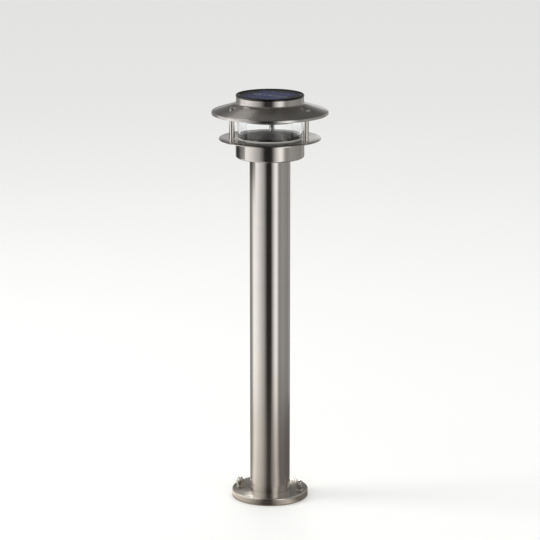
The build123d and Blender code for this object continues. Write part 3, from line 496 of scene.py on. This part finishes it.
def turned_metal(name, hex_colours, roughness, anisotropy, play=0.02):
    """metal ground as it turned, rougher or smoother by the play: streaks follow radius - z, which
    rises all along a turned outline"""
    material, tree, shader = start_finish(name, metallic=1.0)
    place = add_node(tree, "TexCoord").outputs["Object"]
    parts = add_node(tree, "SeparateXYZ", None, {0: place})
    across = add_node(tree, "CombineXYZ", None, {0: parts.outputs["X"], 1: parts.outputs["Y"]})
    radius = add_node(tree, "VectorMath", {"operation": "LENGTH"}, {0: across})
    along = add_node(tree, "Math", {"operation": "SUBTRACT"}, {0: radius, 1: parts.outputs["Z"]})
    streak_place = add_node(tree, "CombineXYZ", None,
                            {0: parts.outputs["X"], 1: parts.outputs["Y"], 2: along})
    streak_scale = (1 / (STREAK_LENGTH * MM), 1 / (STREAK_LENGTH * MM), 1 / (STREAK_PITCH * MM))
    streak_grid = add_node(tree, "Mapping", None, {"Vector": streak_place, "Scale": streak_scale})
    streaks = add_node(tree, "TexNoise", None, {"Vector": streak_grid, "Scale": 1.0, "Detail": 3.0})
    smudges = clouds(tree, SMUDGE_WIDTH, detail=4.0)
    mixed = add_node(tree, "Mix", {"data_type": "FLOAT"},
                     {"Factor": SMUDGE_SHARE, "A": streaks.outputs["Fac"], "B": smudges})
    tint_and_shine(tree, shader, mixed, hex_colours, (roughness - play, roughness + play))
    relief(tree, shader, streaks.outputs["Fac"], STREAK_DEPTH, strength=0.3)
    tangent = add_node(tree, "Tangent", {"direction_type": "RADIAL", "axis": "Z"})
    tree.links.new(tangent.outputs[0], shader.inputs["Tangent"])
    shader.inputs["Anisotropic"].default_value = anisotropy
    shader.inputs["Anisotropic Rotation"].default_value = QUARTER_TURN
    return material


satin_tube = turned_metal("satin_304_tube", ("#c3beb8", "#cdc8c2"), roughness=0.20, anisotropy=0.85)
spun_sheet = turned_metal("spun_304_sheet", ("#c1bcb6", "#ccc7c1"), roughness=0.22, anisotropy=0.80)
foot_sheet = turned_metal("spun_304_foot", ("#c3bdb2", "#cec8be"), roughness=0.25, anisotropy=0.82)
wear(satin_tube, "post_tube", "drum")
wear(spun_sheet, "lower_ring")
wear(foot_sheet, "base_cover")

# %% [markdown]
# ## The other metals
# The cone that spreads the light is spun aluminium, left bright. Nuts, washers, pillars and the
# screws on the canopy are A2 stainless, tumbled and polished until only hairlines are left. The seat
# plate is cold-rolled sheet in its mill finish, dull and even. What stays inside or underneath is
# zinc-plated steel, blue-grey and cloudy, and the battery's springs are nickel-plated, a little warm.

# %% The other metals
def plain_metal(name, hex_colours, roughness, patch, depth):
    """metal without a grinding direction: a cloudy tint, shine and relief from one noise, in patches
    of a width and depth in millimetres"""
    material, tree, shader = start_finish(name, metallic=1.0)
    pattern = clouds(tree, patch, detail=5.0)
    tint_and_shine(tree, shader, pattern, hex_colours, roughness)
    relief(tree, shader, pattern, depth, strength=0.3)
    return material


spun_aluminium = turned_metal("spun_bright_aluminium", ("#d3d4d6", "#dedfe0"),
                              roughness=0.09, anisotropy=0.5, play=0.01)
polished_steel = plain_metal("polished_a2_stainless", ("#cbc7c2", "#d8d4cf"),
                             roughness=(0.06, 0.15), patch=2.5, depth=0.003)
mill_steel = plain_metal("mill_finish_2b_stainless", ("#b9b6b2", "#c6c3bf"),
                         roughness=(0.26, 0.36), patch=3.0, depth=0.004)
zinc_plate = plain_metal("blue_zinc_plating", ("#a3a8ae", "#b7babd"),
                         roughness=(0.28, 0.45), patch=4.0, depth=0.006)
nickel_plate = plain_metal("nickel_plated_spring_steel", ("#b9b2a2", "#cbc4b5"),
                           roughness=(0.18, 0.30), patch=2.0, depth=0.004)
wear(spun_aluminium, "reflector_cone")
wear(polished_steel, "base_washers", "pillar_back", "pillar_left", "pillar_right")
wear(mill_steel, "seat_plate")
wear(zinc_plate, "base_plate", "bolt_sleeves", "post_plug", "drum_screws", "door_pin", "board_screws",
     "led_screws")
wear(nickel_plate, "battery_contacts")

# %% [markdown]
# ## Clear materials
# The lantern is drawn soda-lime glass, the panel's cover and the lamp's lens are moulded acrylic,
# the diodes are cast epoxy and the glass sits on milky silicone. Each is a Principled shader that
# lets light through. A lamp's shadow ray would stop at its surface, so for those rays alone it is
# plain transparent, and what lies behind the glass keeps its light.

# %% Clear materials
def clear_finish(name, hex_colour, ior, roughness, transmission, patch, depth):
    """a transmitting shader, faintly wavy in patches of a width and depth in millimetres, that lets
    the lamps' rays pass"""
    material, tree, shader = start_finish(name, ior=ior)
    pattern = clouds(tree, patch, detail=2.0)
    tint_and_shine(tree, shader, pattern, (hex_colour, hex_colour), roughness)
    relief(tree, shader, pattern, depth, strength=0.2)
    shader.inputs["Transmission Weight"].default_value = transmission
    light_rays = add_node(tree, "LightPath").outputs["Is Shadow Ray"]
    passing = add_node(tree, "BsdfTransparent", None, {"Color": linear(hex_colour)})
    mixed = add_node(tree, "MixShader", None, {0: light_rays, 1: shader.outputs[0], 2: passing})
    tree.links.new(mixed.outputs[0], tree.nodes["Material Output"].inputs["Surface"])
    return material


lantern_glass = clear_finish("drawn_soda_lime_glass", "#fdfefe", ior=1.52, roughness=(0.0, 0.01),
                             transmission=1.0, patch=30.0, depth=0.002)
moulded_acrylic = clear_finish("moulded_clear_acrylic", "#fefefe", ior=1.49, roughness=(0.0, 0.01),
                               transmission=1.0, patch=12.0, depth=0.001)
cast_epoxy = clear_finish("cast_diode_epoxy", "#f4ebc4", ior=1.54, roughness=(0.04, 0.10),
                          transmission=0.7, patch=1.0, depth=0.002)
milky_silicone = clear_finish("milky_silicone_rubber", "#f1f0ec", ior=1.41, roughness=(0.35, 0.5),
                              transmission=0.15, patch=1.5, depth=0.01)
wear(lantern_glass, "glass_cylinder")
wear(moulded_acrylic, "panel_cover", "led_lens")
wear(cast_epoxy, "leds")
wear(milky_silicone, "glass_gasket_lower", "glass_gasket_upper")

# %% [markdown]
# ## Plastics, rubber and boards
# The bezel is black ABS from a polished mould, glossy with a faint orange peel. The housing and its
# door are the same ABS from a spark-eroded mould, whose grain is about 0.3 mm wide. The seal is EPDM
# rubber, dull and soft, and the chips are black moulding epoxy. The switch has a case of glass-filled
# nylon and a slider of white acetal, smooth as wax. The tabs between the cells are fired silver paste,
# pale and matt. The boards carry solder mask over glass cloth of 0.4 mm threads, drawn 0.8 mm wide.

# %% Plastics, rubber and boards
HANDLING_PATCH = 30.0


def moulded(name, hex_colours, roughness, ior, grain, depth, strength=0.5):
    """plastic, rubber or paste whose grain has a width and depth in millimetres, with a wide and
    faint unevenness from handling"""
    material, tree, shader = start_finish(name, ior=ior)
    tint_and_shine(tree, shader, clouds(tree, HANDLING_PATCH, detail=4.0), hex_colours, roughness)
    relief(tree, shader, clouds(tree, grain, detail=2.0), depth, strength)
    return material


gloss_abs = moulded("gloss_black_abs", ("#070708", "#0b0b0c"),
                    roughness=(0.07, 0.13), ior=1.54, grain=1.6, depth=0.01, strength=0.2)
grained_abs = moulded("spark_grained_black_abs", ("#141416", "#1b1b1d"),
                      roughness=(0.42, 0.58), ior=1.54, grain=0.3, depth=0.06)
silver_paste = moulded("fired_silver_paste", ("#d2d2ce", "#e6e5e1"),
                       roughness=(0.45, 0.6), ior=1.6, grain=0.6, depth=0.02)
seal_rubber = moulded("black_epdm_rubber", ("#17181a", "#1e1f21"),
                      roughness=(0.6, 0.8), ior=1.50, grain=0.5, depth=0.02)
part_epoxy = moulded("black_moulding_epoxy", ("#17181a", "#222326"),
                     roughness=(0.5, 0.7), ior=1.55, grain=0.2, depth=0.02)
switch_nylon = moulded("dark_glass_filled_nylon", ("#222326", "#2b2c2f"),
                       roughness=(0.45, 0.6), ior=1.53, grain=0.25, depth=0.03)
slider_pom = moulded("white_acetal", ("#dad9d4", "#e6e5e0"),
                     roughness=(0.3, 0.42), ior=1.48, grain=0.4, depth=0.02)
wear(gloss_abs, "bezel_ring")
wear(grained_abs, "module_housing", "battery_door")
wear(silver_paste, "cell_tabs")
wear(seal_rubber, "module_seal")
wear(part_epoxy, "board_parts")
wear(switch_nylon, "switch_body")
wear(slider_pom, "switch_slider")

THREAD_PITCH = 0.8
MASK_PATCH = 6.0


def masked_laminate(name, mask_colours):
    """solder mask over woven glass cloth: a sine product along x and y, a thread's pitch apart"""
    material, tree, shader = start_finish(name, ior=1.5)
    place = add_node(tree, "TexCoord").outputs["Object"]
    parts = add_node(tree, "SeparateXYZ", None, {0: place})
    waves = []
    for axis in ("X", "Y"):
        phase = add_node(tree, "Math", {"operation": "MULTIPLY"},
                         {0: parts.outputs[axis], 1: math.pi / (THREAD_PITCH * MM)})
        waves.append(add_node(tree, "Math", {"operation": "SINE"}, {0: phase}))
    weave = add_node(tree, "Math", {"operation": "MULTIPLY"}, {0: waves[0], 1: waves[1]})
    tint_and_shine(tree, shader, clouds(tree, MASK_PATCH, detail=4.0), mask_colours, roughness=(0.3, 0.45))
    relief(tree, shader, weave, depth=0.02, strength=0.4)
    return material


green_board = masked_laminate("green_masked_laminate", ("#174a2c", "#1f5a37"))
black_backing = masked_laminate("black_masked_laminate", ("#131518", "#1b1d21"))
wear(green_board, "circuit_board", "led_board")
wear(black_backing, "panel_backing")

# %% [markdown]
# ## Solar cells
# A polycrystalline cell is a cast block of silicon, sawn thin, so its grains lie at random and each
# reflects its own shade of blue. Fine silver fingers, 2 mm apart, are printed across it. They are
# 0.1 mm wide, drawn 0.25 mm wide so that they show at all. Short busbars lie on both sides of the gap,
# where the tabs are soldered. The pattern is turned with the cells.

# %% Solar cells
CELL_TURN = -30.5
CELL_SIZE = 61.0
FINGER_PITCH = 2.0
FINGER_WIDTH = 0.25
GRAIN_WIDTH = 7.0
# how far from the middle of the gap the busbars reach, and the tabs along it
BUSBAR_REACH = 2.6
TAB_COUNT = 7
TAB_PITCH = CELL_SIZE / TAB_COUNT
TAB_LENGTH = 5.4
CELL_BLUES = [(0.0, "#2a3a86"), (0.35, "#33458f"), (0.7, "#3a4c98"), (1.0, "#434a96")]
FINGER_GREY = "#8f96a6"
BUSBAR_GREY = "#dcdcd8"


def polycrystalline_silicon(name):
    """grains from a Voronoi pattern tint the blue, and silver fingers cross it at a steady pitch"""
    material, tree, shader = start_finish(name, ior=1.9)
    place = add_node(tree, "TexCoord").outputs["Object"]
    turned = add_node(tree, "Mapping", None,
                      {"Vector": place, "Rotation": (0.0, 0.0, math.radians(-CELL_TURN))})
    grains = add_node(tree, "TexVoronoi", None, {"Vector": turned, "Scale": 1.0 / (GRAIN_WIDTH * MM)})
    grain_parts = add_node(tree, "SeparateColor", None, {0: grains.outputs["Color"]})
    blue = add_node(tree, "ValToRGB", None, {"Fac": grain_parts.outputs[0]}, CELL_BLUES)
    parts = add_node(tree, "SeparateXYZ", None, {0: turned})
    from_finger = add_node(tree, "Math", {"operation": "PINGPONG"},
                           {0: parts.outputs["X"], 1: FINGER_PITCH / 2 * MM})
    on_finger = add_node(tree, "Math", {"operation": "LESS_THAN"},
                         {0: from_finger, 1: FINGER_WIDTH / 2 * MM})
    from_gap = add_node(tree, "Math", {"operation": "ABSOLUTE"}, {0: parts.outputs["Y"]})
    beside_gap = add_node(tree, "Math", {"operation": "LESS_THAN"}, {0: from_gap, 1: BUSBAR_REACH * MM})
    from_tab = add_node(tree, "Math", {"operation": "PINGPONG"},
                        {0: parts.outputs["X"], 1: TAB_PITCH / 2 * MM})
    at_tab = add_node(tree, "Math", {"operation": "LESS_THAN"}, {0: from_tab, 1: TAB_LENGTH / 2 * MM})
    on_busbar = add_node(tree, "Math", {"operation": "MULTIPLY"}, {0: beside_gap, 1: at_tab})
    fingers = add_node(tree, "Mix", COLOUR_MIX,
                       {MIX_BY: on_finger, MIX_FROM: blue, MIX_TO: linear(FINGER_GREY)})
    colour = add_node(tree, "Mix", COLOUR_MIX,
                      {MIX_BY: on_busbar, MIX_FROM: fingers, MIX_TO: linear(BUSBAR_GREY)})
    shine = add_node(tree, "MapRange", None,
                     {"Value": grain_parts.outputs[1], "To Min": 0.22, "To Max": 0.42})
    tree.links.new(output_in_use(colour), shader.inputs["Base Color"])
    tree.links.new(shine.outputs[0], shader.inputs["Roughness"])
    relief(tree, shader, on_finger, depth=0.02, strength=0.3)
    return material


wear(polycrystalline_silicon("polycrystalline_silicon"), "solar_cells")

# %% [markdown]
# ## Battery and leads
# The battery wears a plain green shrink sleeve with a pale band, which leaves its steel ends bare. Of
# each pair of leads one is red and one black, and each lies on its own side of the middle. A band is
# a colour ramp that steps from one colour to the next, so one function makes all three.

# %% Battery and leads
SLEEVE_GREEN, SLEEVE_BAND, BARE_STEEL = "#2f8f4e", "#e4e4de", "#a9a9a6"
RIM_WIDTH = 0.7
BAND_START = 9.0
TOP_WIDTH = 2.0
LEAD_RED, LEAD_BLACK = "#a01c17", "#151517"
LEAD_SPAN = 30.0


def banded_plastic(name, axis, stops, roughness, ior):
    """a colour that steps along one axis, at places in millimetres on the piece, from low to high"""
    material, tree, shader = start_finish(name, ior=ior)
    place = add_node(tree, "TexCoord").outputs["Object"]
    parts = add_node(tree, "SeparateXYZ", None, {0: place})
    low, high = stops[0][0] * MM, stops[-1][0] * MM
    share = add_node(tree, "MapRange", None,
                     {"Value": parts.outputs[axis], "From Min": low, "From Max": high})
    shares = [((at * MM - low) / (high - low), colour) for at, colour in stops]
    bands = add_node(tree, "ValToRGB", None, {"Fac": share}, shares)
    bands.color_ramp.interpolation = "CONSTANT"
    tree.links.new(bands.outputs[0], shader.inputs["Base Color"])
    shine_between(tree, shader, clouds(tree, patch=5.0), roughness)
    relief(tree, shader, clouds(tree, patch=2.5), depth=0.02, strength=0.3)
    return material


battery_half = (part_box("battery")[1][0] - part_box("battery")[0][0]) / 2 / MM
sleeve_stops = [
    (-battery_half, BARE_STEEL),
    (RIM_WIDTH - battery_half, SLEEVE_GREEN),
    (battery_half - BAND_START, SLEEVE_BAND),
    (battery_half - TOP_WIDTH, BARE_STEEL),
    (battery_half, BARE_STEEL),
]
shrink_sleeve = banded_plastic("green_pvc_shrink_sleeve", "X", sleeve_stops, roughness=(0.17, 0.30), ior=1.54)
lead_stops = [(-LEAD_SPAN, LEAD_BLACK), (0.0, LEAD_RED), (LEAD_SPAN, LEAD_RED)]
leads_by_y = banded_plastic("red_and_black_pvc_by_y", "Y", lead_stops, roughness=(0.35, 0.48), ior=1.53)
leads_by_x = banded_plastic("red_and_black_pvc_by_x", "X", lead_stops, roughness=(0.35, 0.48), ior=1.53)
wear(shrink_sleeve, "battery")
wear(leads_by_y, "panel_leads", "led_leads")
wear(leads_by_x, "battery_leads")

# %% [markdown]
# ## Outlines and turned pieces
# A turned piece is its half section carried round an axis. Corners of that section are never quite
# sharp on the real thing, so an outline is a list of corners with a radius each, and every corner
# becomes an arc that touches both sides. A row may also carry a hexagon's half width: the piece is
# then as wide as the smaller of the two, which is how a turned chamfer cuts curves into a nut.

# %% Outlines and turned pieces
ARC_STEPS = 6
SUPPORT_SHARE = 0.3
SUPPORT_LIMIT = 0.1


def rounded_outline(corners):
    """(r, z) points of a closed outline in millimetres, from (r, z, edge radius) corners; an arc's
    centre lies on the corner's bisector, radius / sin(half angle) away, and a supporting point just
    outside each end of the arc keeps the shading of the straight runs flat"""
    count = len(corners)
    parts = []
    for k, (r, z, radius) in enumerate(corners):
        here = np.array([r, z])
        back = np.array(corners[k - 1][:2]) - here
        ahead = np.array(corners[(k + 1) % count][:2]) - here
        back, ahead = back / np.linalg.norm(back), ahead / np.linalg.norm(ahead)
        half = math.acos(np.clip(back @ ahead, -1, 1)) / 2
        reach = radius / math.tan(half)
        middle = (back + ahead) / np.linalg.norm(back + ahead)
        centre = here + middle * radius / math.sin(half)
        spread = math.pi - 2 * half
        share = np.linspace(0.0, 1.0, ARC_STEPS)[:, None]
        first, last = here + back * reach - centre, here + ahead * reach - centre
        swing = np.sin((1 - share) * spread) * first + np.sin(share * spread) * last
        arc = centre + swing / math.sin(spread)
        support = min(SUPPORT_SHARE * radius, SUPPORT_LIMIT)
        parts.append(np.vstack([here + back * (reach + support), arc, here + ahead * (reach + support)]))
    return np.concatenate(parts)


def turned_points(rows, spots, columns, hexagon=None):
    """(spot, row, column, 3) points: radius min(row's, hexagon / cos(angle from its flat)) at each turn"""
    turns = np.linspace(0.0, 2 * math.pi, columns, endpoint=False)
    radii = np.repeat(rows[:, :1], columns, axis=1)
    if hexagon is not None:
        from_flat = (turns % (math.pi / 3)) - math.pi / 6
        radii = np.minimum(radii, hexagon[:, None] / np.cos(from_flat)[None, :])
    heights = np.repeat(rows[:, 1:2], columns, axis=1)
    ring = np.stack([radii * np.cos(turns), radii * np.sin(turns), heights], axis=-1)
    centres = np.array([(x, y, 0.0) for x, y in spots])
    return centres[:, None, None, :] + ring[None]


def turned_piece(name, rows, spots, columns, hexagon=None, closed=False):
    """a mesh of one turned shape at each spot; closed joins the last row to the first"""
    points = turned_points(rows, spots, columns, hexagon) * MM
    first_spot = np.array([*spots[0], 0.0]) * MM
    faces = outward(points[0].reshape(-1, 3) - first_spot, grid_faces(len(rows), columns, closed))
    starts = np.arange(len(spots)) * len(rows) * columns
    all_faces = (faces[None] + starts[:, None, None]).reshape(-1, 4)
    return make_mesh(name, points.reshape(-1, 3), all_faces)


def dress(made, body, node_name, finish):
    """a finished piece rides on its body, stands for its node and wears its finish"""
    made.data.materials.append(finish)
    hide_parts(node_name)
    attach(made, body)
    print(made.name, len(made.data.vertices), "points, for", node_name)


def ring_spots(radius, angles):
    """centres at a radius and at each of some angles in degrees, in millimetres"""
    return [(radius * math.cos(math.radians(a)), radius * math.sin(math.radians(a))) for a in angles]


def spread_of(node_name):
    """outer radius, lowest and highest z of a piece round the torch's axis, in millimetres"""
    low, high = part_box(node_name)
    return (high[0] - low[0]) / 2 / MM, low[2] / MM, high[2] / MM


# the three pillars, whose screws the canopy's dimples follow
PILLAR_CIRCLE = 62.5
PILLAR_ANGLES = (90.0, 210.0, 330.0)
pillar_spots = ring_spots(PILLAR_CIRCLE, PILLAR_ANGLES)

# %% [markdown]
# ## Canopy
# The canopy is one sheet, spun over a wooden former: a straight neck, a hollow curve, a shallow cone
# and a rim that turns down. Three dimples are then pressed in for the screws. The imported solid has
# sharp-edged dimples, so this piece spins the same section and lets the sheet flow into them: each
# height blends to the dimple's floor by a smooth step of the distance from its centre.

# %% Canopy
NECK_RADIUS = 49.7
SHEET = 1.0
SLOPE_DEGREES = 17.5
SLOPE = math.tan(math.radians(SLOPE_DEGREES))
LIP_HEIGHT = 4.2
RIM_RADIUS = 1.4
NECK_FILLET = 4.5
EDGE_BREAK = 0.3
DIMPLE_FLAT = 4.7
DIMPLE_EDGE = 7.3
# the longest step along the outline, and the number of steps round the axis
CANOPY_STEP = 0.8
CANOPY_COLUMNS = 480

canopy_radius, lip_z, neck_top_z = spread_of("canopy")
seat_top_z = spread_of("seat_plate")[2]
slope_sheet = SHEET * math.hypot(1.0, SLOPE)


def slope_z(radius):
    """height of the canopy's cone at a radius, counted from the lip's lower edge"""
    return lip_z + LIP_HEIGHT + (canopy_radius - radius) * SLOPE


canopy_corners = [
    (NECK_RADIUS - SHEET, neck_top_z, EDGE_BREAK),
    (NECK_RADIUS, neck_top_z, EDGE_BREAK),
    (NECK_RADIUS, slope_z(NECK_RADIUS), NECK_FILLET),
    (canopy_radius, slope_z(canopy_radius), RIM_RADIUS),
    (canopy_radius, lip_z, EDGE_BREAK),
    (canopy_radius - SHEET, lip_z, EDGE_BREAK),
    (canopy_radius - SHEET, slope_z(canopy_radius - SHEET) - slope_sheet, RIM_RADIUS - SHEET),
    (NECK_RADIUS - SHEET, slope_z(NECK_RADIUS - SHEET) - slope_sheet, NECK_FILLET + SHEET),
]
canopy_outline = rounded_outline(canopy_corners)
run = np.concatenate([[0.0], np.cumsum(np.linalg.norm(np.diff(canopy_outline, axis=0), axis=1))])
fine_run = np.union1d(run, np.arange(0.0, run[-1], CANOPY_STEP))
canopy_rows = np.column_stack([np.interp(fine_run, run, canopy_outline[:, k]) for k in (0, 1)])
canopy_points = turned_points(canopy_rows, [(0.0, 0.0)], CANOPY_COLUMNS)[0]
outside = canopy_rows[:, 1] > slope_z(canopy_rows[:, 0]) - SHEET / 2
dimple_floor = np.where(outside, seat_top_z + SHEET, seat_top_z)[:, None]
for x, y in pillar_spots:
    distance = np.hypot(canopy_points[..., 0] - x, canopy_points[..., 1] - y)
    share = np.clip((DIMPLE_EDGE - distance) / (DIMPLE_EDGE - DIMPLE_FLAT), 0.0, 1.0)
    blend = share * share * (3 - 2 * share)
    canopy_points[..., 2] += blend * (dimple_floor - canopy_points[..., 2])
canopy_points = canopy_points.reshape(-1, 3) * MM
canopy_faces = outward(canopy_points, grid_faces(len(canopy_rows), CANOPY_COLUMNS, True))
canopy_shell = make_mesh("canopy_shell", canopy_points, canopy_faces)
canopy_steel = turned_metal("spun_304_canopy", ("#c1bcb6", "#ccc7c1"), roughness=0.24, anisotropy=0.82)
dress(canopy_shell, "torch", "canopy", canopy_steel)

# %% [markdown]
# ## Cap nuts
# A cap nut starts as hexagonal bar. Its ends are chamfered on a lathe, which leaves an arc on every
# flat, and its dome is turned and polished. One outline holds all of that: where the hexagon is
# narrower than the turned shape, the flat shows, and elsewhere the turned shape does.

# %% Cap nuts
NUT_HALF_FLATS = 5.0
NUT_CORNER = NUT_HALF_FLATS / math.cos(math.pi / 6)
NUT_HEX_HEIGHT = 6.0
DOME_RADIUS = 4.4
DOME_WALL = 2.0
CHAMFER_RISE = 0.5
LOWER_CHAMFER_INSET = 0.3
UPPER_CHAMFER_INSET = 0.1
DOME_FILLET = 0.15
DOME_STEPS = 14
NUT_COLUMNS = 96
BOLT_CIRCLE = 46.5
BOLT_LINE = -9.0

nut_low, nut_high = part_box("cap_nuts")
nut_z, nut_top = nut_low[2] / MM, nut_high[2] / MM
hex_top = nut_z + NUT_HEX_HEIGHT
bolt_spots = ring_spots(BOLT_CIRCLE, (BOLT_LINE, BOLT_LINE + 180.0))
dome_turn = np.linspace(0.0, math.pi / 2, DOME_STEPS)
dome_low = hex_top + DOME_WALL
dome_heights = dome_low + (nut_top - dome_low) * np.sin(dome_turn)
nut_rows = np.vstack([
    [(0.0, nut_z), (NUT_HALF_FLATS - LOWER_CHAMFER_INSET, nut_z), (NUT_CORNER, nut_z + CHAMFER_RISE)],
    [(NUT_CORNER, hex_top - CHAMFER_RISE), (NUT_HALF_FLATS - UPPER_CHAMFER_INSET, hex_top)],
    [(DOME_RADIUS + DOME_FILLET, hex_top), (DOME_RADIUS, hex_top + DOME_FILLET)],
    np.column_stack([DOME_RADIUS * np.cos(dome_turn), dome_heights]),
])
nut_rows[-1, 0] = 0.0
nut_piece = turned_piece("domed_cap_nuts", nut_rows, bolt_spots, NUT_COLUMNS,
                         np.full(len(nut_rows), NUT_HALF_FLATS))
dress(nut_piece, "torch", "cap_nuts", polished_steel)

# %% [markdown]
# ## Screws with a hexagon socket
# The screws in the dimples have a button head of polished stainless, and those under the ring a
# lower one of zinc-plated steel, both with a socket for a 2.5 mm key. The head is an ellipse turned
# about the screw, and the socket's rows take the hexagon's width instead of the turned one. A shank
# below the head fills the thread.

# %% Screws with a hexagon socket
SOCKET_HALF_FLATS = 1.25
SOCKET_RIM = 1.7
SOCKET_SHARE = 0.55
SHANK_RADIUS = 2.0
# where a head's curve starts above its seat, as an angle in radians
HEAD_START = 0.12
HEAD_STEPS = 10
# a hexagon wider than any screw, so that a row stays round
NO_FLATS = 100.0
SCREW_COLUMNS = 48
HEAD_RADIUS = 4.0
HEAD_HEIGHT = 3.2
LOW_HEAD_RADIUS = 3.8
LOW_HEAD_HEIGHT = 2.3


def socket_screw(name, node_name, head, seat_z, shank_end_z, finish):
    """a head of (radius, height) from seat_z, up if its height is positive, and a shank to
    shank_end_z, at each pillar"""
    head_radius, head_height = head
    rim_turn = math.acos(SOCKET_RIM / head_radius)
    turns = np.linspace(HEAD_START, rim_turn, HEAD_STEPS)
    curve = np.column_stack([head_radius * np.cos(turns), seat_z + head_height * np.sin(turns)])
    floor_z = seat_z + head_height * (1 - SOCKET_SHARE)
    rows = np.vstack([
        [(0.0, shank_end_z), (SHANK_RADIUS, shank_end_z), (SHANK_RADIUS, seat_z), (head_radius, seat_z)],
        curve,
        [(SOCKET_RIM, curve[-1, 1]), (SOCKET_RIM, floor_z), (0.0, floor_z)],
    ])
    hexagon = np.full(len(rows), NO_FLATS)
    hexagon[-3:] = SOCKET_HALF_FLATS
    screws = turned_piece(name, rows, pillar_spots, SCREW_COLUMNS, hexagon)
    dress(screws, "torch", node_name, finish)


screw_low, screw_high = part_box("canopy_screws")
socket_screw("button_screws", "canopy_screws", (HEAD_RADIUS, HEAD_HEIGHT),
             screw_high[2] / MM - HEAD_HEIGHT, screw_low[2] / MM, polished_steel)
ring_screw_low, ring_screw_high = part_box("pillar_screws")
socket_screw("ring_screws", "pillar_screws", (LOW_HEAD_RADIUS, -LOW_HEAD_HEIGHT),
             ring_screw_low[2] / MM + LOW_HEAD_HEIGHT, ring_screw_high[2] / MM, zinc_plate)

# %% [markdown]
# ## Bezel
# The bezel is a moulded ring that caps the neck and frames the panel. Its top is rounded outside and
# falls away to the panel inside, so that it catches two thin lines of light instead of one edge.

# %% Bezel
BEZEL_BORE = 44.9
SKIRT_RADIUS = 46.4
SLOPE_RUN = 1.6
SLOPE_DROP = 0.8
BROW_RADIUS = 1.3
CREST_RADIUS = 0.7
RIM_BREAK = 0.3
SKIRT_BREAK = 0.2
SKIRT_ROOT = 0.1
BEZEL_COLUMNS = 256

bezel_radius, skirt_z, bezel_top = spread_of("bezel_ring")
bezel_outline = rounded_outline([
    (bezel_radius, neck_top_z, RIM_BREAK),
    (bezel_radius, bezel_top, BROW_RADIUS),
    (BEZEL_BORE + SLOPE_RUN, bezel_top, CREST_RADIUS),
    (BEZEL_BORE, bezel_top - SLOPE_DROP, RIM_BREAK),
    (BEZEL_BORE, skirt_z, SKIRT_BREAK),
    (SKIRT_RADIUS, skirt_z, SKIRT_BREAK),
    (SKIRT_RADIUS, neck_top_z, SKIRT_ROOT),
])
bezel_piece = turned_piece("moulded_bezel", bezel_outline, [(0.0, 0.0)], BEZEL_COLUMNS, closed=True)
dress(bezel_piece, "solar_module", "bezel_ring", gloss_abs)

# %% [markdown]
# ## Lens
# The lamp under the module shines down through a small lens. Rings moulded into its face spread the
# light of three diodes over the cone, and show as fine circles from below.

# %% Lens
LENS_RADIUS = 7.9
LENS_WALL = 1.2
LENS_EDGE = 1.5
LENS_FLANGE_HEIGHT = 1.0
RING_COUNT = 5
RING_DEPTH = 0.25
FACE_STEPS = 61
EDGE_STEPS = 8
LENS_COLUMNS = 96

flange_radius, lens_z, lens_top = spread_of("led_lens")
face_radius = np.linspace(0.0, LENS_RADIUS - LENS_EDGE, FACE_STEPS)
ring_phase = face_radius / face_radius[-1] * RING_COUNT
face_height = lens_z + RING_DEPTH * (0.5 - 0.5 * np.cos(2 * math.pi * ring_phase))
edge_turn = np.linspace(0.0, math.pi / 2, EDGE_STEPS)[1:]
edge_radius = LENS_RADIUS - LENS_EDGE * (1 - np.sin(edge_turn))
edge_height = lens_z + LENS_EDGE * (1 - np.cos(edge_turn))
lens_rows = np.vstack([
    np.column_stack([face_radius, face_height]),
    np.column_stack([edge_radius, edge_height]),
    [(LENS_RADIUS, lens_top - LENS_FLANGE_HEIGHT), (flange_radius, lens_top - LENS_FLANGE_HEIGHT)],
    [(flange_radius, lens_top), (LENS_RADIUS - LENS_WALL, lens_top)],
    [(LENS_RADIUS - LENS_WALL, lens_z + LENS_WALL), (0.0, lens_z + LENS_WALL)],
])
lens_piece = turned_piece("ringed_lens", lens_rows, [(0.0, 0.0)], LENS_COLUMNS)
dress(lens_piece, "solar_module", "led_lens", moulded_acrylic)
